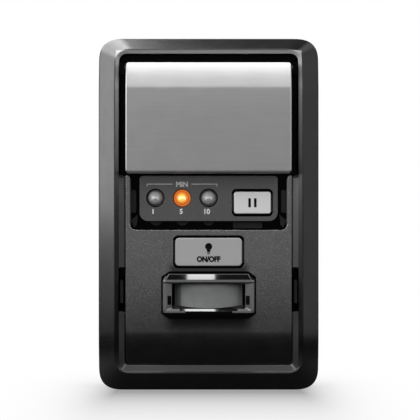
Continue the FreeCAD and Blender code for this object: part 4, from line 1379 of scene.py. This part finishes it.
@dataclass
class TimerPanel:
    """The raised grey cap in the recess, and its three lamps."""

    width: float = 46.2
    top: float = 12.9
    bottom: float = -2.3
    front: float = 14.5
    back: float = 9.5
    face: float = 1.5
    wall: float = 0.9
    wall_inset: float = 0.02
    corner: float = 2.8
    upper_corner: float = 1.2
    edge: float = 0.12
    lamps: tuple[tuple[str, float], ...] = (
        ("lamp_one_minute", -17.8), ("lamp_five_minute", -8.9), ("lamp_ten_minute", 0.0),
    )
    lit: str = "lamp_five_minute"
    lamp_z: float = 5.44
    well_radius: float = 3.1
    lamp_radius: float = 2.4
    lamp_flange: float = 2.85
    flange_thickness: float = 1.0
    flange_edge: float = 0.1
    lamp_hollow: float = 0.4
    lamp_base: float = 8.2
    lamp_tip: float = 16.0
    dome_steps: int = 12
    dome_end: float = 88.0
    hold_well: tuple[float, float, float, Flat] = (13.8, 9.19, 1.6, (14.64, 3.87))

    def outline(self, inset: float) -> list[Flat]:
        """The cap's outline.

        Args:
            inset: How far it is drawn in.

        Returns:
            Its points.
        """
        width, height = self.width - 2 * inset, self.top - self.bottom - 2 * inset
        centre = (0.0, (self.top + self.bottom) / 2)
        return round_box(width, height, self.corner - inset, centre, self.upper_corner - inset)

    def cap(self) -> None:
        """The face with its wells, on a wall that goes back to the chassis."""
        wells = [circle((x, self.lamp_z), self.well_radius) for _, x in self.lamps]
        outlines = [self.outline(0.0), *wells, round_box(*self.hold_well)]
        face = plate("panel_face", outlines, self.front - self.face, self.front, self.edge)
        skirt = Shell("panel_skirt")
        inside_face = self.front - self.face / 2
        outer = [(self.wall_inset, inside_face), (self.wall_inset, self.back)]
        inner = [(self.wall, self.back), (self.wall, inside_face)]
        rings = [skirt.ring((x, depth, z) for x, z in self.outline(inset)) for inset, depth in outer + inner]
        skirt.skin(rings, tube=True)
        piece = join("timer_panel_cap", [face, skirt.piece(weighted=False)])
        flatten_broad_faces(piece)
        hold(piece, Finishes.PANEL, Body.HOUSING, ["timer_panel"])

    def lamp(self, name: str, x: float) -> None:
        """A round lamp with a domed end and a flange.

        Args:
            name: The node that it stands for.
            x: Its place.
        """
        shell = Shell(f"{name}_resin")
        shoulder = self.lamp_base + self.flange_thickness
        flange = [
            (self.lamp_hollow, self.lamp_base),
            (self.lamp_flange, self.lamp_base),
            (self.lamp_flange, shoulder - self.flange_edge),
            (self.lamp_flange - self.flange_edge, shoulder),
            (self.lamp_radius, shoulder),
        ]
        middle = (0.0, self.lamp_tip - self.lamp_radius)
        dome = arc(middle, self.lamp_radius, 0, self.dome_end, self.dome_steps)
        shell.lathe(flange + dome, (x, self.lamp_z))
        lit = name == self.lit
        finish = LampResin(
            f"{name}_resin", (0.50, 0.505, 0.51), roughness=0.20, coat=0.8, coat_roughness=0.04, cloud=0.06,
            cloud_size=1.0, centre=(x, self.lamp_z), radius=self.lamp_radius, lit=lit,
        )
        hold(shell.piece(weighted=False), finish, Body.HOUSING, [name])

    def build(self) -> None:
        """Make the cap and its lamps."""
        self.cap()
        for name, x in self.lamps:
            self.lamp(name, x)


# The push bar


@dataclass
class PushBar:
    """The hollow silver cap over the top third of the control."""

    half_width: float = 27.5
    low: float = 13.6
    high: float = 50.6
    bend: float = 42.0
    front: float = 23.0
    top_front: float = 19.2
    back: float = 12.0
    top_back: float = 14.2
    wall: float = 2.0
    wall_corners: Flat = (0.6, 0.4)
    wall_edge: float = 0.3
    corner: float = 1.0
    corner_steps: int = 6
    corner_loss: float = 0.5
    top_drops: Point = (2.5, 4.0, 5.5)
    bend_shares: tuple[float, ...] = (3.0, 1.0, 0.5, 0.0, -0.5, -1.0, -3.0)
    ease_shares: tuple[float, ...] = (0.25, 0.4, 0.55, 0.7, 0.85, 1.0)
    lower_rows: Flat = (28.0, 18.0)
    edge: float = 0.38
    edge_steps: int = 7
    foot_edge: float = 1.15
    bend_softness: float = 0.35
    crown: float = 0.34
    ease_reach: float = 9.0
    ease_depth: float = 0.28
    stem_z: float = 22.0
    stem_radius: float = 2.0
    stem_edge: float = 0.3
    stem_tip: float = 7.9
    stem_seam: float = 0.2

    def slope(self, z: float, start: float, end: float) -> float:
        """A depth that is eased below the bend and then runs, slightly crowned, to another at the top.

        Args:
            z: The height.
            start: The depth well below the bend.
            end: The depth at the top, before the easing.

        Returns:
            The depth at the height.
        """
        reach = self.high - self.bend
        rate = (end - start) / reach * (1 - self.crown)
        past = z - self.bend
        eased = min(1.0, max(0.0, past / self.ease_reach + 1.0))
        start -= self.ease_depth * eased ** 2
        if past <= -self.bend_softness:
            return start
        if past >= self.bend_softness:
            return start + rate * past + (end - start) * self.crown * (past / reach) ** 2
        return start + rate * (past + self.bend_softness) ** 2 / (4 * self.bend_softness)

    def rim(self, z: float) -> float:
        """The depth of the back rim."""
        return self.slope(z, self.back, self.top_back)

    def face(self, z: float) -> float:
        """The depth of the front face."""
        return self.slope(z, self.front, self.top_front)

    def heights(self) -> list[float]:
        """Heights of the points down one side, closer together where its depth changes.

        Returns:
            The heights from the top down, without those of the corners.
        """
        return [
            *(self.high - drop for drop in self.top_drops),
            *(self.bend + self.bend_softness * share for share in self.bend_shares),
            *(self.bend - self.ease_reach * share for share in self.ease_shares),
            *self.lower_rows,
        ]

    def outline(self, side: float, top: float, foot: float, corner: float) -> list[Flat]:
        """The bar's outline in front view.

        Args:
            side: How far it is drawn in at the sides.
            top: How far at the top.
            foot: How far at the foot.
            corner: The radius of its corners.

        Returns:
            Its points, from the top right corner round by the foot.
        """
        half, high, low = self.half_width - side, self.high - top, self.low + foot
        right = arc((half - corner, high - corner), corner, 90, 0, self.corner_steps)
        right += [(half, z) for z in self.heights()]
        right += arc((half - corner, low + corner), corner, 0, -90, self.corner_steps)
        return with_left(right)

    def rounded_edge(self, shell: Shell) -> list[list[int]]:
        """The rings of the outside, from the back rim over the rounded edge to the face.

        Args:
            shell: What they are added to.

        Returns:
            The numbers of each ring's points.
        """
        outside = self.outline(0.0, 0.0, 0.0, self.corner)
        rings = [shell.ring((x, self.rim(z), z) for x, z in outside)]
        for step in range(self.edge_steps + 1):
            turn = math.radians(90 * step / self.edge_steps)
            inward, behind = 1 - math.cos(turn), self.edge * (1 - math.sin(turn))
            side, foot = self.edge * inward, self.foot_edge * inward
            line = self.outline(side, side, foot, self.corner * (1 - self.corner_loss * inward))
            rings.append(shell.ring((x, self.face(z) - behind, z) for x, z in line))
        return rings

    def hollow(self, shell: Shell) -> list[list[int]]:
        """The rings of the inside, from the back rim to behind the face.

        Args:
            shell: What they are added to.

        Returns:
            The numbers of each ring's points.
        """
        wall, deeper = self.wall, self.wall + self.wall_edge
        wide = self.outline(wall, wall, wall, self.wall_corners[0])
        narrow = self.outline(deeper, deeper, deeper, self.wall_corners[1])
        return [
            shell.ring((x, self.rim(z), z) for x, z in wide),
            shell.ring((x, self.face(z) - deeper, z) for x, z in wide),
            shell.ring((x, self.face(z) - wall, z) for x, z in narrow),
        ]

    def stem(self) -> bpy.types.Object:
        """The stem that presses the dome.

        Returns:
            The stem, whose upper end lies inside the face.
        """
        shell = Shell("push_bar_stem")
        top = self.front - self.wall
        profile = [
            (self.stem_radius - self.stem_edge, self.stem_tip),
            (self.stem_radius, self.stem_tip + self.stem_edge),
            (self.stem_radius, top - self.stem_seam),
            (self.stem_radius, top + self.wall / 2),
        ]
        shell.lathe(profile, (0.0, self.stem_z))
        return shell.piece(weighted=False)

    def build(self) -> None:
        """Make the cap with its rounded edges, its hollow and its stem."""
        shell = Shell("push_bar_cap")
        outside = self.rounded_edge(shell)
        inside = self.hollow(shell)
        shell.skin(outside)
        shell.bridge(outside[0], inside[0])
        shell.skin(inside)
        shell.close_across(outside[-1])
        shell.close_across(inside[-1])
        piece = join("push_bar_cap", [shell.piece(weighted=False), self.stem()])
        flatten_broad_faces(piece)
        hold(piece, Finishes.BAR, Body.PUSH_BAR, ["push_bar"])


# The sensor


@dataclass
class SensorLens:
    """The curved lens, with the joints between its parts pressed into it."""

    width: float = 22.4
    below: float = 4.1
    above: float = 4.15
    bow: float = 1.0
    radius: float = 24.0
    front: float = 24.3
    thickness: float = 0.9
    edge: float = 0.12
    foot: float = 19.4
    middle: float = -27.0
    column_count: int = 44
    band_half: float = 2.2
    joints: tuple[float, ...] = (-9.1, -5.5, -1.85, 1.85, 5.5, 9.1)
    joint_width: float = 0.22
    joint_depth: float = 0.03

    def columns(self) -> list[float]:
        """The X of each column of points, closer together at the joints.

        Returns:
            The columns from left to right.
        """
        half = self.width / 2
        places = {-half + self.width * step / self.column_count for step in range(self.column_count + 1)}
        for joint in self.joints:
            places |= {joint - self.joint_width / 2, joint, joint + self.joint_width / 2}
        return sorted(places)

    def depth(self, x: float, radius: float) -> float:
        """The depth of a curved face at a place across it."""
        return self.front - self.radius + math.sqrt(radius ** 2 - x ** 2)

    def face(self, x: float) -> float:
        """The depth of the front at a place across it, less in a joint."""
        return self.depth(x, self.radius) - (self.joint_depth if x in self.joints else 0.0)

    def profile(self, columns: Sequence[float]) -> list[Flat]:
        """The lens as seen from above.

        Args:
            columns: The X of each column of points.

        Returns:
            X and depth along the front from left to right and back behind, with two points for each foot.
        """
        half, inner_half = self.width / 2, self.width / 2 - self.thickness
        narrowed = [x * inner_half / half for x in reversed(columns)]
        return [
            *((x, self.face(x)) for x in columns),
            (half, self.foot),
            (inner_half, self.foot),
            *((x, self.depth(x, self.radius - self.thickness)) for x in narrowed),
            (-inner_half, self.foot),
            (-half, self.foot),
        ]

    def build(self) -> None:
        """Make the curved sheet with a foot at each side."""
        shell = Shell("lens_film")
        columns = self.columns()
        profile = self.profile(columns)
        low, high = self.middle - self.below, self.middle + self.above
        band = (self.middle - self.band_half, self.middle, self.middle + self.band_half)
        rings = []
        for z in (low, low + self.edge, *band, high - self.edge, high):
            inset = self.edge if z in (low, high) else 0.0
            bow = self.bow * (high - z) / (high - low) / (self.width / 2) ** 2
            line = [(x, depth - inset if depth > self.foot else depth) for x, depth in profile]
            rings.append(shell.ring((x, depth, z + bow * x ** 2) for x, depth in line))
        shell.skin(rings)
        count = len(columns)
        for ring in (rings[0], rings[-1]):
            shell.bridge(ring[:count], ring[2 * count + 1:count + 1:-1], closed=False)
            shell.close(ring[count - 1:count + 3])
            shell.close([ring[0], *ring[2 * count + 1:]])
        hold(shell.piece(20.0, False), Finishes.LENS, Body.HOUSING, ["fresnel_lens"])


@dataclass(frozen=True)
class Octagon:
    """An eight-sided line round the sensor: half sizes, what its corners lose, its depth and its lift."""

    half_width: float
    half_height: float
    cut_x: float
    cut_z: float
    depth: float
    lift: float = 0.0

    def points(self, middle: float) -> list[Point]:
        """Its corners, each drawn as two points so that it is slightly rounded.

        Args:
            middle: The height of its middle.

        Returns:
            Its points, from the top right corner round by the foot.
        """
        soft = min(0.25, self.cut_x / 3, self.cut_z / 3)
        right, top = self.half_width - self.cut_x, self.half_height - self.cut_z
        upper = [
            (right - soft, self.half_height),
            (right + soft * 0.8, self.half_height - soft * 0.6),
            (self.half_width - soft * 0.8, top + soft * 0.6),
            (self.half_width, top - soft),
        ]
        return [(x, self.depth, middle + self.lift + z) for x, z in with_left(with_lower(upper))]


@dataclass
class SensorHood:
    """The eight-sided hood: straight base, steep slope, bright chamfer, rim and a funnel to the lens."""

    middle: float = -27.0
    lines: tuple[Octagon, ...] = (
        Octagon(15.4, 7.55, 2.4, 1.7, 9.5),
        Octagon(15.4, 7.55, 2.4, 1.7, 16.4),
        Octagon(15.36, 7.47, 2.3, 1.65, 16.9),
        Octagon(15.22, 7.38, 2.0, 1.55, 24.80, -0.13),
        Octagon(15.18, 7.3, 1.95, 1.5, 24.89, -0.15),
        Octagon(15.0, 5.50, 0.85, 0.75, 25.94, -0.05),
        Octagon(14.9, 5.37, 0.8, 0.7, 26.0, -0.05),
        Octagon(14.0, 4.84, 0.45, 0.4, 26.0, -0.14),
        Octagon(13.85, 4.724, 0.4, 0.35, 25.92, -0.134),
        Octagon(13.07, 4.225, 0.37, 0.32, 25.53, -0.025),
        Octagon(12.2, 4.2, 0.35, 0.3, 25.1),
        Octagon(12.1, 4.2, 0.33, 0.28, 24.9),
        Octagon(11.5, 4.2, 0.3, 0.25, 19.85),
        Octagon(11.4, 4.22, 0.3, 0.25, 19.3),
        Octagon(10.2, 3.0, 0.3, 0.25, 19.2, 0.3),
        Octagon(10.2, 3.0, 0.3, 0.25, 9.5, 0.3),
    )
    cheek_start: Flat = (12.2, 25.1)
    cheek_end: Flat = (13.85, 25.92)
    cheek_inside: float = 0.3
    # The painted shade sheets in the cheeks: their X span, Z span and how far they stand out.
    sheet_half: Flat = (12.3, 13.55)
    sheet_z: Flat = (-30.0, -26.9)
    sheet_proud: float = 0.06
    ledge_z: Flat = (-30.45, -29.9)
    ledge_proud: float = 0.22

    def funnel_depth(self, x: float) -> float:
        """The depth of the funnel's side at a place across it."""
        rise = (self.cheek_end[1] - self.cheek_start[1]) / (self.cheek_end[0] - self.cheek_start[0])
        return self.cheek_start[1] + (x - self.cheek_start[0]) * rise

    def cheek_piece(self, name: str, side: int, span: Flat, proud: float) -> bpy.types.Object:
        """A thin piece that lies on the funnel's side.

        Args:
            name: The piece's name.
            side: 1 for the right, -1 for the left.
            span: Its lower and upper Z.
            proud: How far it stands out of the funnel.

        Returns:
            The piece.
        """
        shell = Shell(name)
        behind = [(x, self.funnel_depth(x) - self.cheek_inside) for x in self.sheet_half]
        before = [(x, self.funnel_depth(x) + proud) for x in reversed(self.sheet_half)]
        rings = [shell.ring((side * x, depth, z) for x, depth in behind + before) for z in span]
        shell.skin(rings)
        for ring in rings:
            shell.close(ring)
        return shell.piece(weighted=False)

    def build(self) -> None:
        """Make the hood, then a near-black sheet of painted shade in each cheek for its slot, with a ledge
        under each.
        """
        shell = Shell("sensor_hood")
        shell.skin([shell.ring(line.points(self.middle)) for line in self.lines], tube=True)
        hold(shell.piece(24.0), Finishes.HOOD, Body.HOUSING, ["sensor_housing"])
        for side, name in ((-1, "left"), (1, "right")):
            shade_sheet = self.cheek_piece(f"slot_shade_sheet_{name}", side, self.sheet_z, self.sheet_proud)
            hold(shade_sheet, Finishes.SLOT_SHADE, Body.HOUSING)
            ledge = self.cheek_piece(f"catch_ledge_{name}", side, self.ledge_z, self.ledge_proud)
            hold(ledge, Finishes.HOOD, Body.HOUSING)


# Print


@dataclass(frozen=True)
class Lettering:
    """The height of a capital letter, how much its strokes are thickened, and how far it is narrowed."""

    height: float
    weight: float
    squeeze: float = 1.0


@dataclass
class Print:
    """Numbers and plain signs printed on the panel and the buttons."""

    film: float = 0.035
    film_edge: float = 0.004
    capital: float = 0.7
    panel_face: float = 14.5
    light_face: float = 17.4
    hold_face: float = 15.4
    minutes: tuple[tuple[str, float], ...] = (("1", -18.6), ("5", -9.2), ("10", -0.5))
    minutes_z: float = 0.95
    minutes_lettering: Lettering = Lettering(1.6, 0.09)
    unit_centre: Flat = (-8.9, 10.05)
    unit_lettering: Lettering = Lettering(1.6, 0.10)
    spans: tuple[tuple[str, float, float, float], ...] = (
        ("span_left", -20.6, -12.0, -20.6), ("span_right", -5.8, 2.8, 2.8),
    )
    span_z: float = 9.98
    span_line: float = 0.22
    span_tick: float = 0.7
    bulb_centre: Flat = (0.0, -10.75)
    bulb_radius: float = 1.18
    bulb_neck: float = 1.05
    glass_ends: Flat = (235.0, -55.0)
    glass_steps: int = 29
    neck_drop: float = 1.55
    screw_drops: Flat = (1.66, 1.96)
    screw_widths: Flat = (1.0, 0.75)
    screw_line: float = 0.24
    switch_centre: Flat = (0.0, -14.95)
    switch_lettering: Lettering = Lettering(1.7, 0.15, 0.88)
    pause_xs: Flat = (13.69, 15.59)
    pause_half: float = 0.42
    pause_z: Flat = (2.35, 5.35)

    def words(
        self, name: str, text: str, centre: Flat, lettering: Lettering, face: float
    ) -> bpy.types.Object:
        """Print a number or a word.

        Args:
            name: The piece's name.
            text: What it says.
            centre: The X and Z of its middle.
            lettering: How it is drawn.
            face: The depth of what it is printed on.

        Returns:
            The print as a mesh.
        """
        curve = bpy.data.curves.new(name, "FONT")
        curve.body = text
        curve.align_x = "CENTER"
        curve.align_y = "CENTER"
        curve.size = lettering.height / self.capital * MM
        curve.extrude = self.film / 2 * MM
        curve.offset = lettering.weight * MM
        mesh = mesh_of(put_in_scene(name, curve))
        spans = [[vertex.co[axis] for vertex in mesh.vertices] for axis in (0, 1)]
        middle_x, middle_z = ((min(span) + max(span)) / 2 for span in spans)
        for vertex in mesh.vertices:
            x, z, out = vertex.co
            across = (x - middle_x) * lettering.squeeze + centre[0] * MM
            vertex.co = (across, -(face * MM + out), z - middle_z + centre[1] * MM)
        shade(mesh)
        return put_in_scene(name, mesh)

    def sign(self, name: str, outline: Sequence[Flat], face: float) -> bpy.types.Object:
        """Print a plain shape."""
        return plate(name, [outline], face - self.film / 2, face + self.film / 2, self.film_edge, 0)

    def bar(self, name: str, low: Flat, high: Flat, face: float) -> bpy.types.Object:
        """Print a plain bar between two corners."""
        return self.sign(name, [low, (high[0], low[1]), high, (low[0], high[1])], face)

    def panel(self) -> list[bpy.types.Object]:
        """The minutes under the lamps, and a line that spans them with its unit over it.

        Returns:
            The pieces.
        """
        face = self.panel_face
        made = [
            self.words(f"minutes_{text}", text, (x, self.minutes_z), self.minutes_lettering, face)
            for text, x in self.minutes
        ]
        made.append(self.words("minutes_word", "MIN", self.unit_centre, self.unit_lettering, face))
        top = self.span_z + self.span_line
        for name, start, end, tick in self.spans:
            line = self.bar(name, (start, self.span_z), (end, top), face)
            low = (tick - self.span_line / 2, self.span_z - self.span_tick)
            mark = self.bar(f"{name}_end", low, (tick + self.span_line / 2, top), face)
            made.append(join(f"{name}_line", [line, mark]))
        return made

    def bulb(self) -> bpy.types.Object:
        """A plain picture of a lamp bulb: a round glass on a short screw cap.

        Returns:
            The picture as one mesh.
        """
        x, z = self.bulb_centre
        radius, half = self.bulb_radius, self.bulb_neck / 2
        neck = z - self.neck_drop * radius
        glass = arc(self.bulb_centre, radius, *self.glass_ends, self.glass_steps)
        glass += [(x + half, neck), (x - half, neck)]
        pieces = [self.sign("bulb_glass", glass, self.light_face)]
        for drop, share in zip(self.screw_drops, self.screw_widths):
            top, reach = z - radius * drop, half * share
            low = (x - reach, top - self.screw_line)
            pieces.append(self.bar("bulb_screw", low, (x + reach, top), self.light_face))
        return join("bulb_sign", pieces)

    def pause(self) -> bpy.types.Object:
        """The two bars of a pause sign.

        Returns:
            The sign as one mesh.
        """
        low, high = self.pause_z
        half = self.pause_half
        bars = [self.bar("pause", (x - half, low), (x + half, high), self.hold_face) for x in self.pause_xs]
        return join("hold_sign", bars)

    def build(self) -> None:
        """Print everything."""
        for piece in self.panel():
            hold(piece, Finishes.WHITE_INK, Body.HOUSING)
        hold(self.bulb(), Finishes.BLACK_INK, Body.LIGHT_BUTTON)
        word = self.words("light_word", "ON/OFF", self.switch_centre, self.switch_lettering, self.light_face)
        hold(word, Finishes.BLACK_INK, Body.LIGHT_BUTTON)
        hold(self.pause(), Finishes.BLACK_INK, Body.HOLD_BUTTON)


# Small mouldings in the recess


@dataclass
class RecessFittings:
    """Small mouldings that show round the panel: lamp seats, a key, corner webs and the snap blocks."""

    back: float = 9.4
    edge: float = 0.12
    seat_xs: tuple[float, float, float] = (-17.6, -8.8, 0.0)
    seat_radius: float = 2.1
    seat_front: float = 11.6
    seat_z: float = -1.75
    seat_ends: Flat = (197.0, 343.0)
    seat_steps: int = 14
    key: tuple[float, float, float, Flat] = (9.8, 2.3, 0.3, (13.1, -3.6))
    key_front: float = 11.2
    snap: tuple[float, float, float] = (2.0, 7.8, 0.6)
    snap_centre: Flat = (25.2, 4.3)
    snap_front: float = 12.8
    web: tuple[Flat, ...] = ((23.6, 0.1), (24.1, -3.5), (25.0, -4.7), (26.2, -2.1))
    web_front: float = 12.6

    def block(self, outline: Sequence[Flat], front: float) -> bpy.types.Object:
        """One moulding from the recess floor to a depth."""
        return plate("fitting", [outline], self.back, front, self.edge)

    def build(self) -> None:
        """Make them all as one piece of the chassis."""
        parts = []
        for x in self.seat_xs:
            seat = arc((x, self.seat_z), self.seat_radius, *self.seat_ends, self.seat_steps)
            parts.append(self.block(seat, self.seat_front))
        parts.append(self.block(round_box(*self.key), self.key_front))
        for side in (-1, 1):
            snap = round_box(*self.snap, (side * self.snap_centre[0], self.snap_centre[1]))
            parts.append(self.block(snap, self.snap_front))
            parts.append(self.block([(side * x, z) for x, z in self.web[::side]], self.web_front))
        hold(join("recess_fittings", parts), Finishes.HOUSING, Body.HOUSING)


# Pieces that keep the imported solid's shape


@dataclass
class PlainPieces:
    """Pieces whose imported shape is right: some get softened edges, the rest only a finish."""

    softened: tuple[tuple[str, Finishes, Body, str, float], ...] = (
        ("inner_chassis", Finishes.CHASSIS, Body.HOUSING, "chassis_gloss", 0.18),
        ("rear_housing", Finishes.HOUSING, Body.HOUSING, "housing_black", 0.20),
        ("light_button", Finishes.WIDE_BUTTON, Body.LIGHT_BUTTON, "button_grey", 0.24),
        ("hold_open_button", Finishes.BUTTON, Body.HOLD_BUTTON, "button_grey", 0.14),
        ("learn_button", Finishes.LEARN, Body.LEARN_BUTTON, "learn_yellow", 0.12),
        ("terminal_block", Finishes.COMPONENT, Body.HOUSING, "component_black", 0.25),
        ("terminal_plates", Finishes.BRASS, Body.HOUSING, "terminal_brass", 0.08),
        ("terminal_screws", Finishes.STEEL, Body.HOUSING, "screw_steel", 0.12),
        ("controller_chip", Finishes.COMPONENT, Body.HOUSING, "component_black", 0.12),
        ("rectifier_diodes", Finishes.COMPONENT, Body.HOUSING, "component_black", 0.12),
        ("chip_resistors", Finishes.COMPONENT, Body.HOUSING, "component_black", 0.06),
        ("clock_crystal", Finishes.CAN, Body.HOUSING, "can_metal", 0.12),
        ("sensor_can", Finishes.CAN, Body.HOUSING, "can_metal", 0.12),
        ("reservoir_capacitor", Finishes.SLEEVE, Body.HOUSING, "capacitor_sleeve", 0.25),
    )
    finished: tuple[tuple[Finishes, tuple[str, ...]], ...] = (
        (Finishes.BOARD, ("circuit_board",)),
        (Finishes.STEEL, ("board_screws", "chassis_screws")),
        (Finishes.PIN, ("hinge_pin_left", "hinge_pin_right")),
        (Finishes.RUBBER, ("push_bar_dome", "light_button_dome", "hold_button_dome", "learn_button_dome")),
        (Finishes.RUBBER, ("locator_lamp",)),
        (Finishes.COMPONENT, ("lamp_spacers",)),
        (Finishes.TIN, ("lamp_leads",)),
        (Finishes.FILTER, ("sensor_window",)),
    )

    def build(self) -> None:
        """Dress every one of them."""
        for node, finish, body, slot, edge in self.softened:
            hold(copy_of_node(node, edge), finish, body, [node])
        for finish, nodes in self.finished:
            for node in nodes:
                paint(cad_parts[node], finish)
                log.info("%s: kept", node)


# Studio


WHITE: Colour = (1.0, 1.0, 1.0)


@dataclass(frozen=True)
class Softbox:
    """A flat lamp, which can be kept off matt surfaces so that only gloss shows it."""

    name: str
    centre: Point
    aim: Point
    size: Flat
    level: float
    on_matt: bool = True
    spread: float = 180.0

    def build(self) -> None:
        """Hang the lamp; its level is the brightness that a mirror on its axis would show."""
        lamp = bpy.data.lights.new(self.name, "AREA")
        lamp.shape = "RECTANGLE"
        lamp.size, lamp.size_y = self.size
        half_spread = math.radians(self.spread / 2)
        lamp.spread = 2 * half_spread
        narrowing = 1 - half_spread / math.tan(half_spread)
        lamp.energy = self.level * math.pi * self.size[0] * self.size[1] * narrowing
        made = put_in_scene(self.name, lamp)
        made.location = self.centre
        direction = Vector(self.aim) - Vector(self.centre)
        made.rotation_euler = direction.to_track_quat("-Z", "Y").to_euler()
        made.visible_camera = False
        made.visible_diffuse = self.on_matt


@dataclass
class Studio:
    """The floor, the lamps, the surroundings and the camera.

    Places are in metres, but those of the control's foot, where the painted shadow starts, are in
    millimetres.
    The surroundings change from room to ground at the horizon, stay white in a pool straight below,
    and have a white screen behind the control that gloss shows.
    """

    floor_level: float = -0.05936
    floor_half: float = 0.9
    floor_front: float = -0.14
    floor_back: float = 0.9
    shadow_paint_tints: tuple[Colour, Colour] = ((0.014, 0.014, 0.014), (0.020, 0.020, 0.020))
    foot_half: float = 31.0
    foot_front: float = 16.0
    foot_back: float = -8.0
    falls: Point = (0.13, 0.015, 0.05)
    shadow_weight: float = 0.64
    room: Colour = (0.07, 0.07, 0.072)
    ground: Colour = (0.008, 0.008, 0.008)
    horizon: Flat = (-0.12, 0.25)
    pool: Flat = (-0.98, -0.91)
    screen: Flat = (0.93, 0.97)
    camera_place: Point = (0.00046, -0.85, 0.00143)
    focal: float = 214.09
    softboxes: tuple[Softbox, ...] = (
        Softbox("left_softbox", (-0.42, 0.13, 0.245), (0.0, 0.13, 0.245), (0.30, 0.50), 2.4),
        Softbox("left_low_softbox", (-0.42, 0.13, -0.03), (0.0, 0.13, -0.03), (0.30, 0.05), 0.35),
        Softbox("left_front_softbox", (-0.42, -0.17, 0.23), (0.0, -0.17, 0.23), (0.26, 0.46), 2.0),
        Softbox("right_softbox", (0.42, 0.14, 0.15), (0.0, 0.14, 0.15), (0.24, 0.45), 0.33),
        Softbox("right_front_softbox", (0.42, -0.17, 0.23), (0.0, -0.17, 0.23), (0.26, 0.46), 0.7),
        Softbox("top_softbox", (-0.02, -0.10, 0.46), (-0.02, -0.10, 0.0), (0.50, 0.26), 5.3),
        Softbox("upper_front_softbox", (0.0, -0.33, 0.36), (0.0, 0.0, 0.02), (0.50, 0.14), 0.64),
        Softbox("front_card", (0.0, -0.25, 0.14), (0.0, 0.0, 0.14), (0.60, 0.36), 0.36),
        Softbox("left_fill", (-0.36, -0.42, 0.20), (0.0, 0.0, 0.0), (0.20, 0.36), 3.8),
        Softbox("right_fill", (0.36, -0.42, 0.20), (0.0, 0.0, 0.0), (0.20, 0.36), 2.1),
        Softbox("back_top_softbox", (-0.21, 0.30, 0.36), (0.0, 0.0, 0.04), (0.36, 0.30), 3.2),
        Softbox("back_right_softbox", (0.27, 0.28, 0.32), (0.0, 0.0, 0.04), (0.14, 0.20), 0.5),
        Softbox(
            "hood_spark", (-0.0035, -0.1195, 0.1630), (-0.003, -0.0256, -0.0355), (0.0122, 0.0205), 17.0,
            on_matt=False, spread=26.0,
        ),
    )

    def shadow(self, tree: Tree) -> Value:
        """How much of the floor's painted shadow shows, which dies away round the foot of the control.

        Args:
            tree: The floor's nodes.

        Returns:
            The share, largest at the foot.
        """
        across, depth, _ = tree.axes()
        beside = (abs(across) - self.foot_half).above_zero() * self.falls[0]
        ahead = (depth - self.foot_front).above_zero() * self.falls[1]
        behind = (self.foot_back - depth).above_zero() * self.falls[2]
        along = ahead + behind
        return ((beside * beside + along * along) ** 0.5).dying() * self.shadow_weight

    def floor(self) -> None:
        """A clear floor with a painted shadow of near-black paint, which clears away from the control into
        the white surroundings.
        """
        half, front, back, level = self.floor_half, self.floor_front, self.floor_back, self.floor_level
        corners = [(-half, front, level), (half, front, level), (half, back, level), (-half, back, level)]
        mesh = bpy.data.meshes.new("floor")
        mesh.from_pydata(corners, [], [(0, 1, 2, 3)])
        material = bpy.data.materials.new("floor_shadow_paint")
        material.use_nodes = True
        tree = Tree(material.node_tree)
        # Painted shadow: near-black paint whose share falls away from the control's foot; elsewhere the floor
        # is clear.
        shadow_paint = tree.mix(tree.noise(40.0), *self.shadow_paint_tints)
        matt = tree.node("ShaderNodeBsdfDiffuse", None, {"Color": shadow_paint})
        clear = tree.node("ShaderNodeBsdfTransparent")
        inputs = {0: self.shadow(tree), 1: clear.outputs[0], 2: matt.outputs[0]}
        total = tree.node("ShaderNodeMixShader", None, inputs)
        tree.node("ShaderNodeOutputMaterial", None, {0: total.outputs[0]})
        mesh.materials.append(material)
        made = put_in_scene("floor", mesh)

    def surroundings(self) -> None:
        """White behind the control, and a dim room that is darker below the horizon."""
        world = bpy.data.worlds.new("studio")
        bpy.context.scene.world = world
        world.use_nodes = True
        tree = Tree(world.node_tree)
        _, back, height = tree.parts(tree.node("ShaderNodeTexCoord").outputs["Generated"])
        low = tree.mix(height.fade(*self.pool), WHITE, self.ground)
        room = tree.mix(height.fade(*self.horizon), low, self.room)
        path = tree.node("ShaderNodeLightPath").outputs
        rays = ("Is Camera Ray", "Is Glossy Ray", "Is Transmission Ray")
        camera, glossy, through = (Value(tree, path[ray]) for ray in rays)
        white = (camera + (glossy + through) * back.fade(*self.screen)).clamped()
        sky = tree.node("ShaderNodeBackground", None, {"Color": tree.mix(white, room, WHITE)})
        tree.node("ShaderNodeOutputWorld", None, {0: sky.outputs[0]})

    def camera(self) -> None:
        """The camera in front of the control, at its middle."""
        lens = bpy.data.cameras.new("camera")
        lens.lens = self.focal
        lens.sensor_width = 36.0
        lens.clip_start = 0.01
        lens.clip_end = 20.0
        made = put_in_scene("camera", lens)
        made.location = self.camera_place
        made.rotation_euler = (math.pi / 2, 0.0, 0.0)
        bpy.context.scene.camera = made

    def build(self) -> None:
        """Set everything up."""
        self.camera()
        self.floor()
        self.surroundings()
        for softbox in self.softboxes:
            softbox.build()
        bpy.context.scene.view_settings.view_transform = "Standard"


def main() -> None:
    """Build every sub-assembly in order."""
    logging.basicConfig(level=logging.INFO, format="%(name)s: %(message)s")
    parts = (
        Studio(), OuterFrame(), FrontCover(), TimerPanel(), PushBar(), SensorHood(), SensorLens(), Print(),
        RecessFittings(), PlainPieces(),
    )
    for part in parts:
        part.build()
        log.info("%s built", type(part).__name__)


if __name__ == "__main__":
    main()
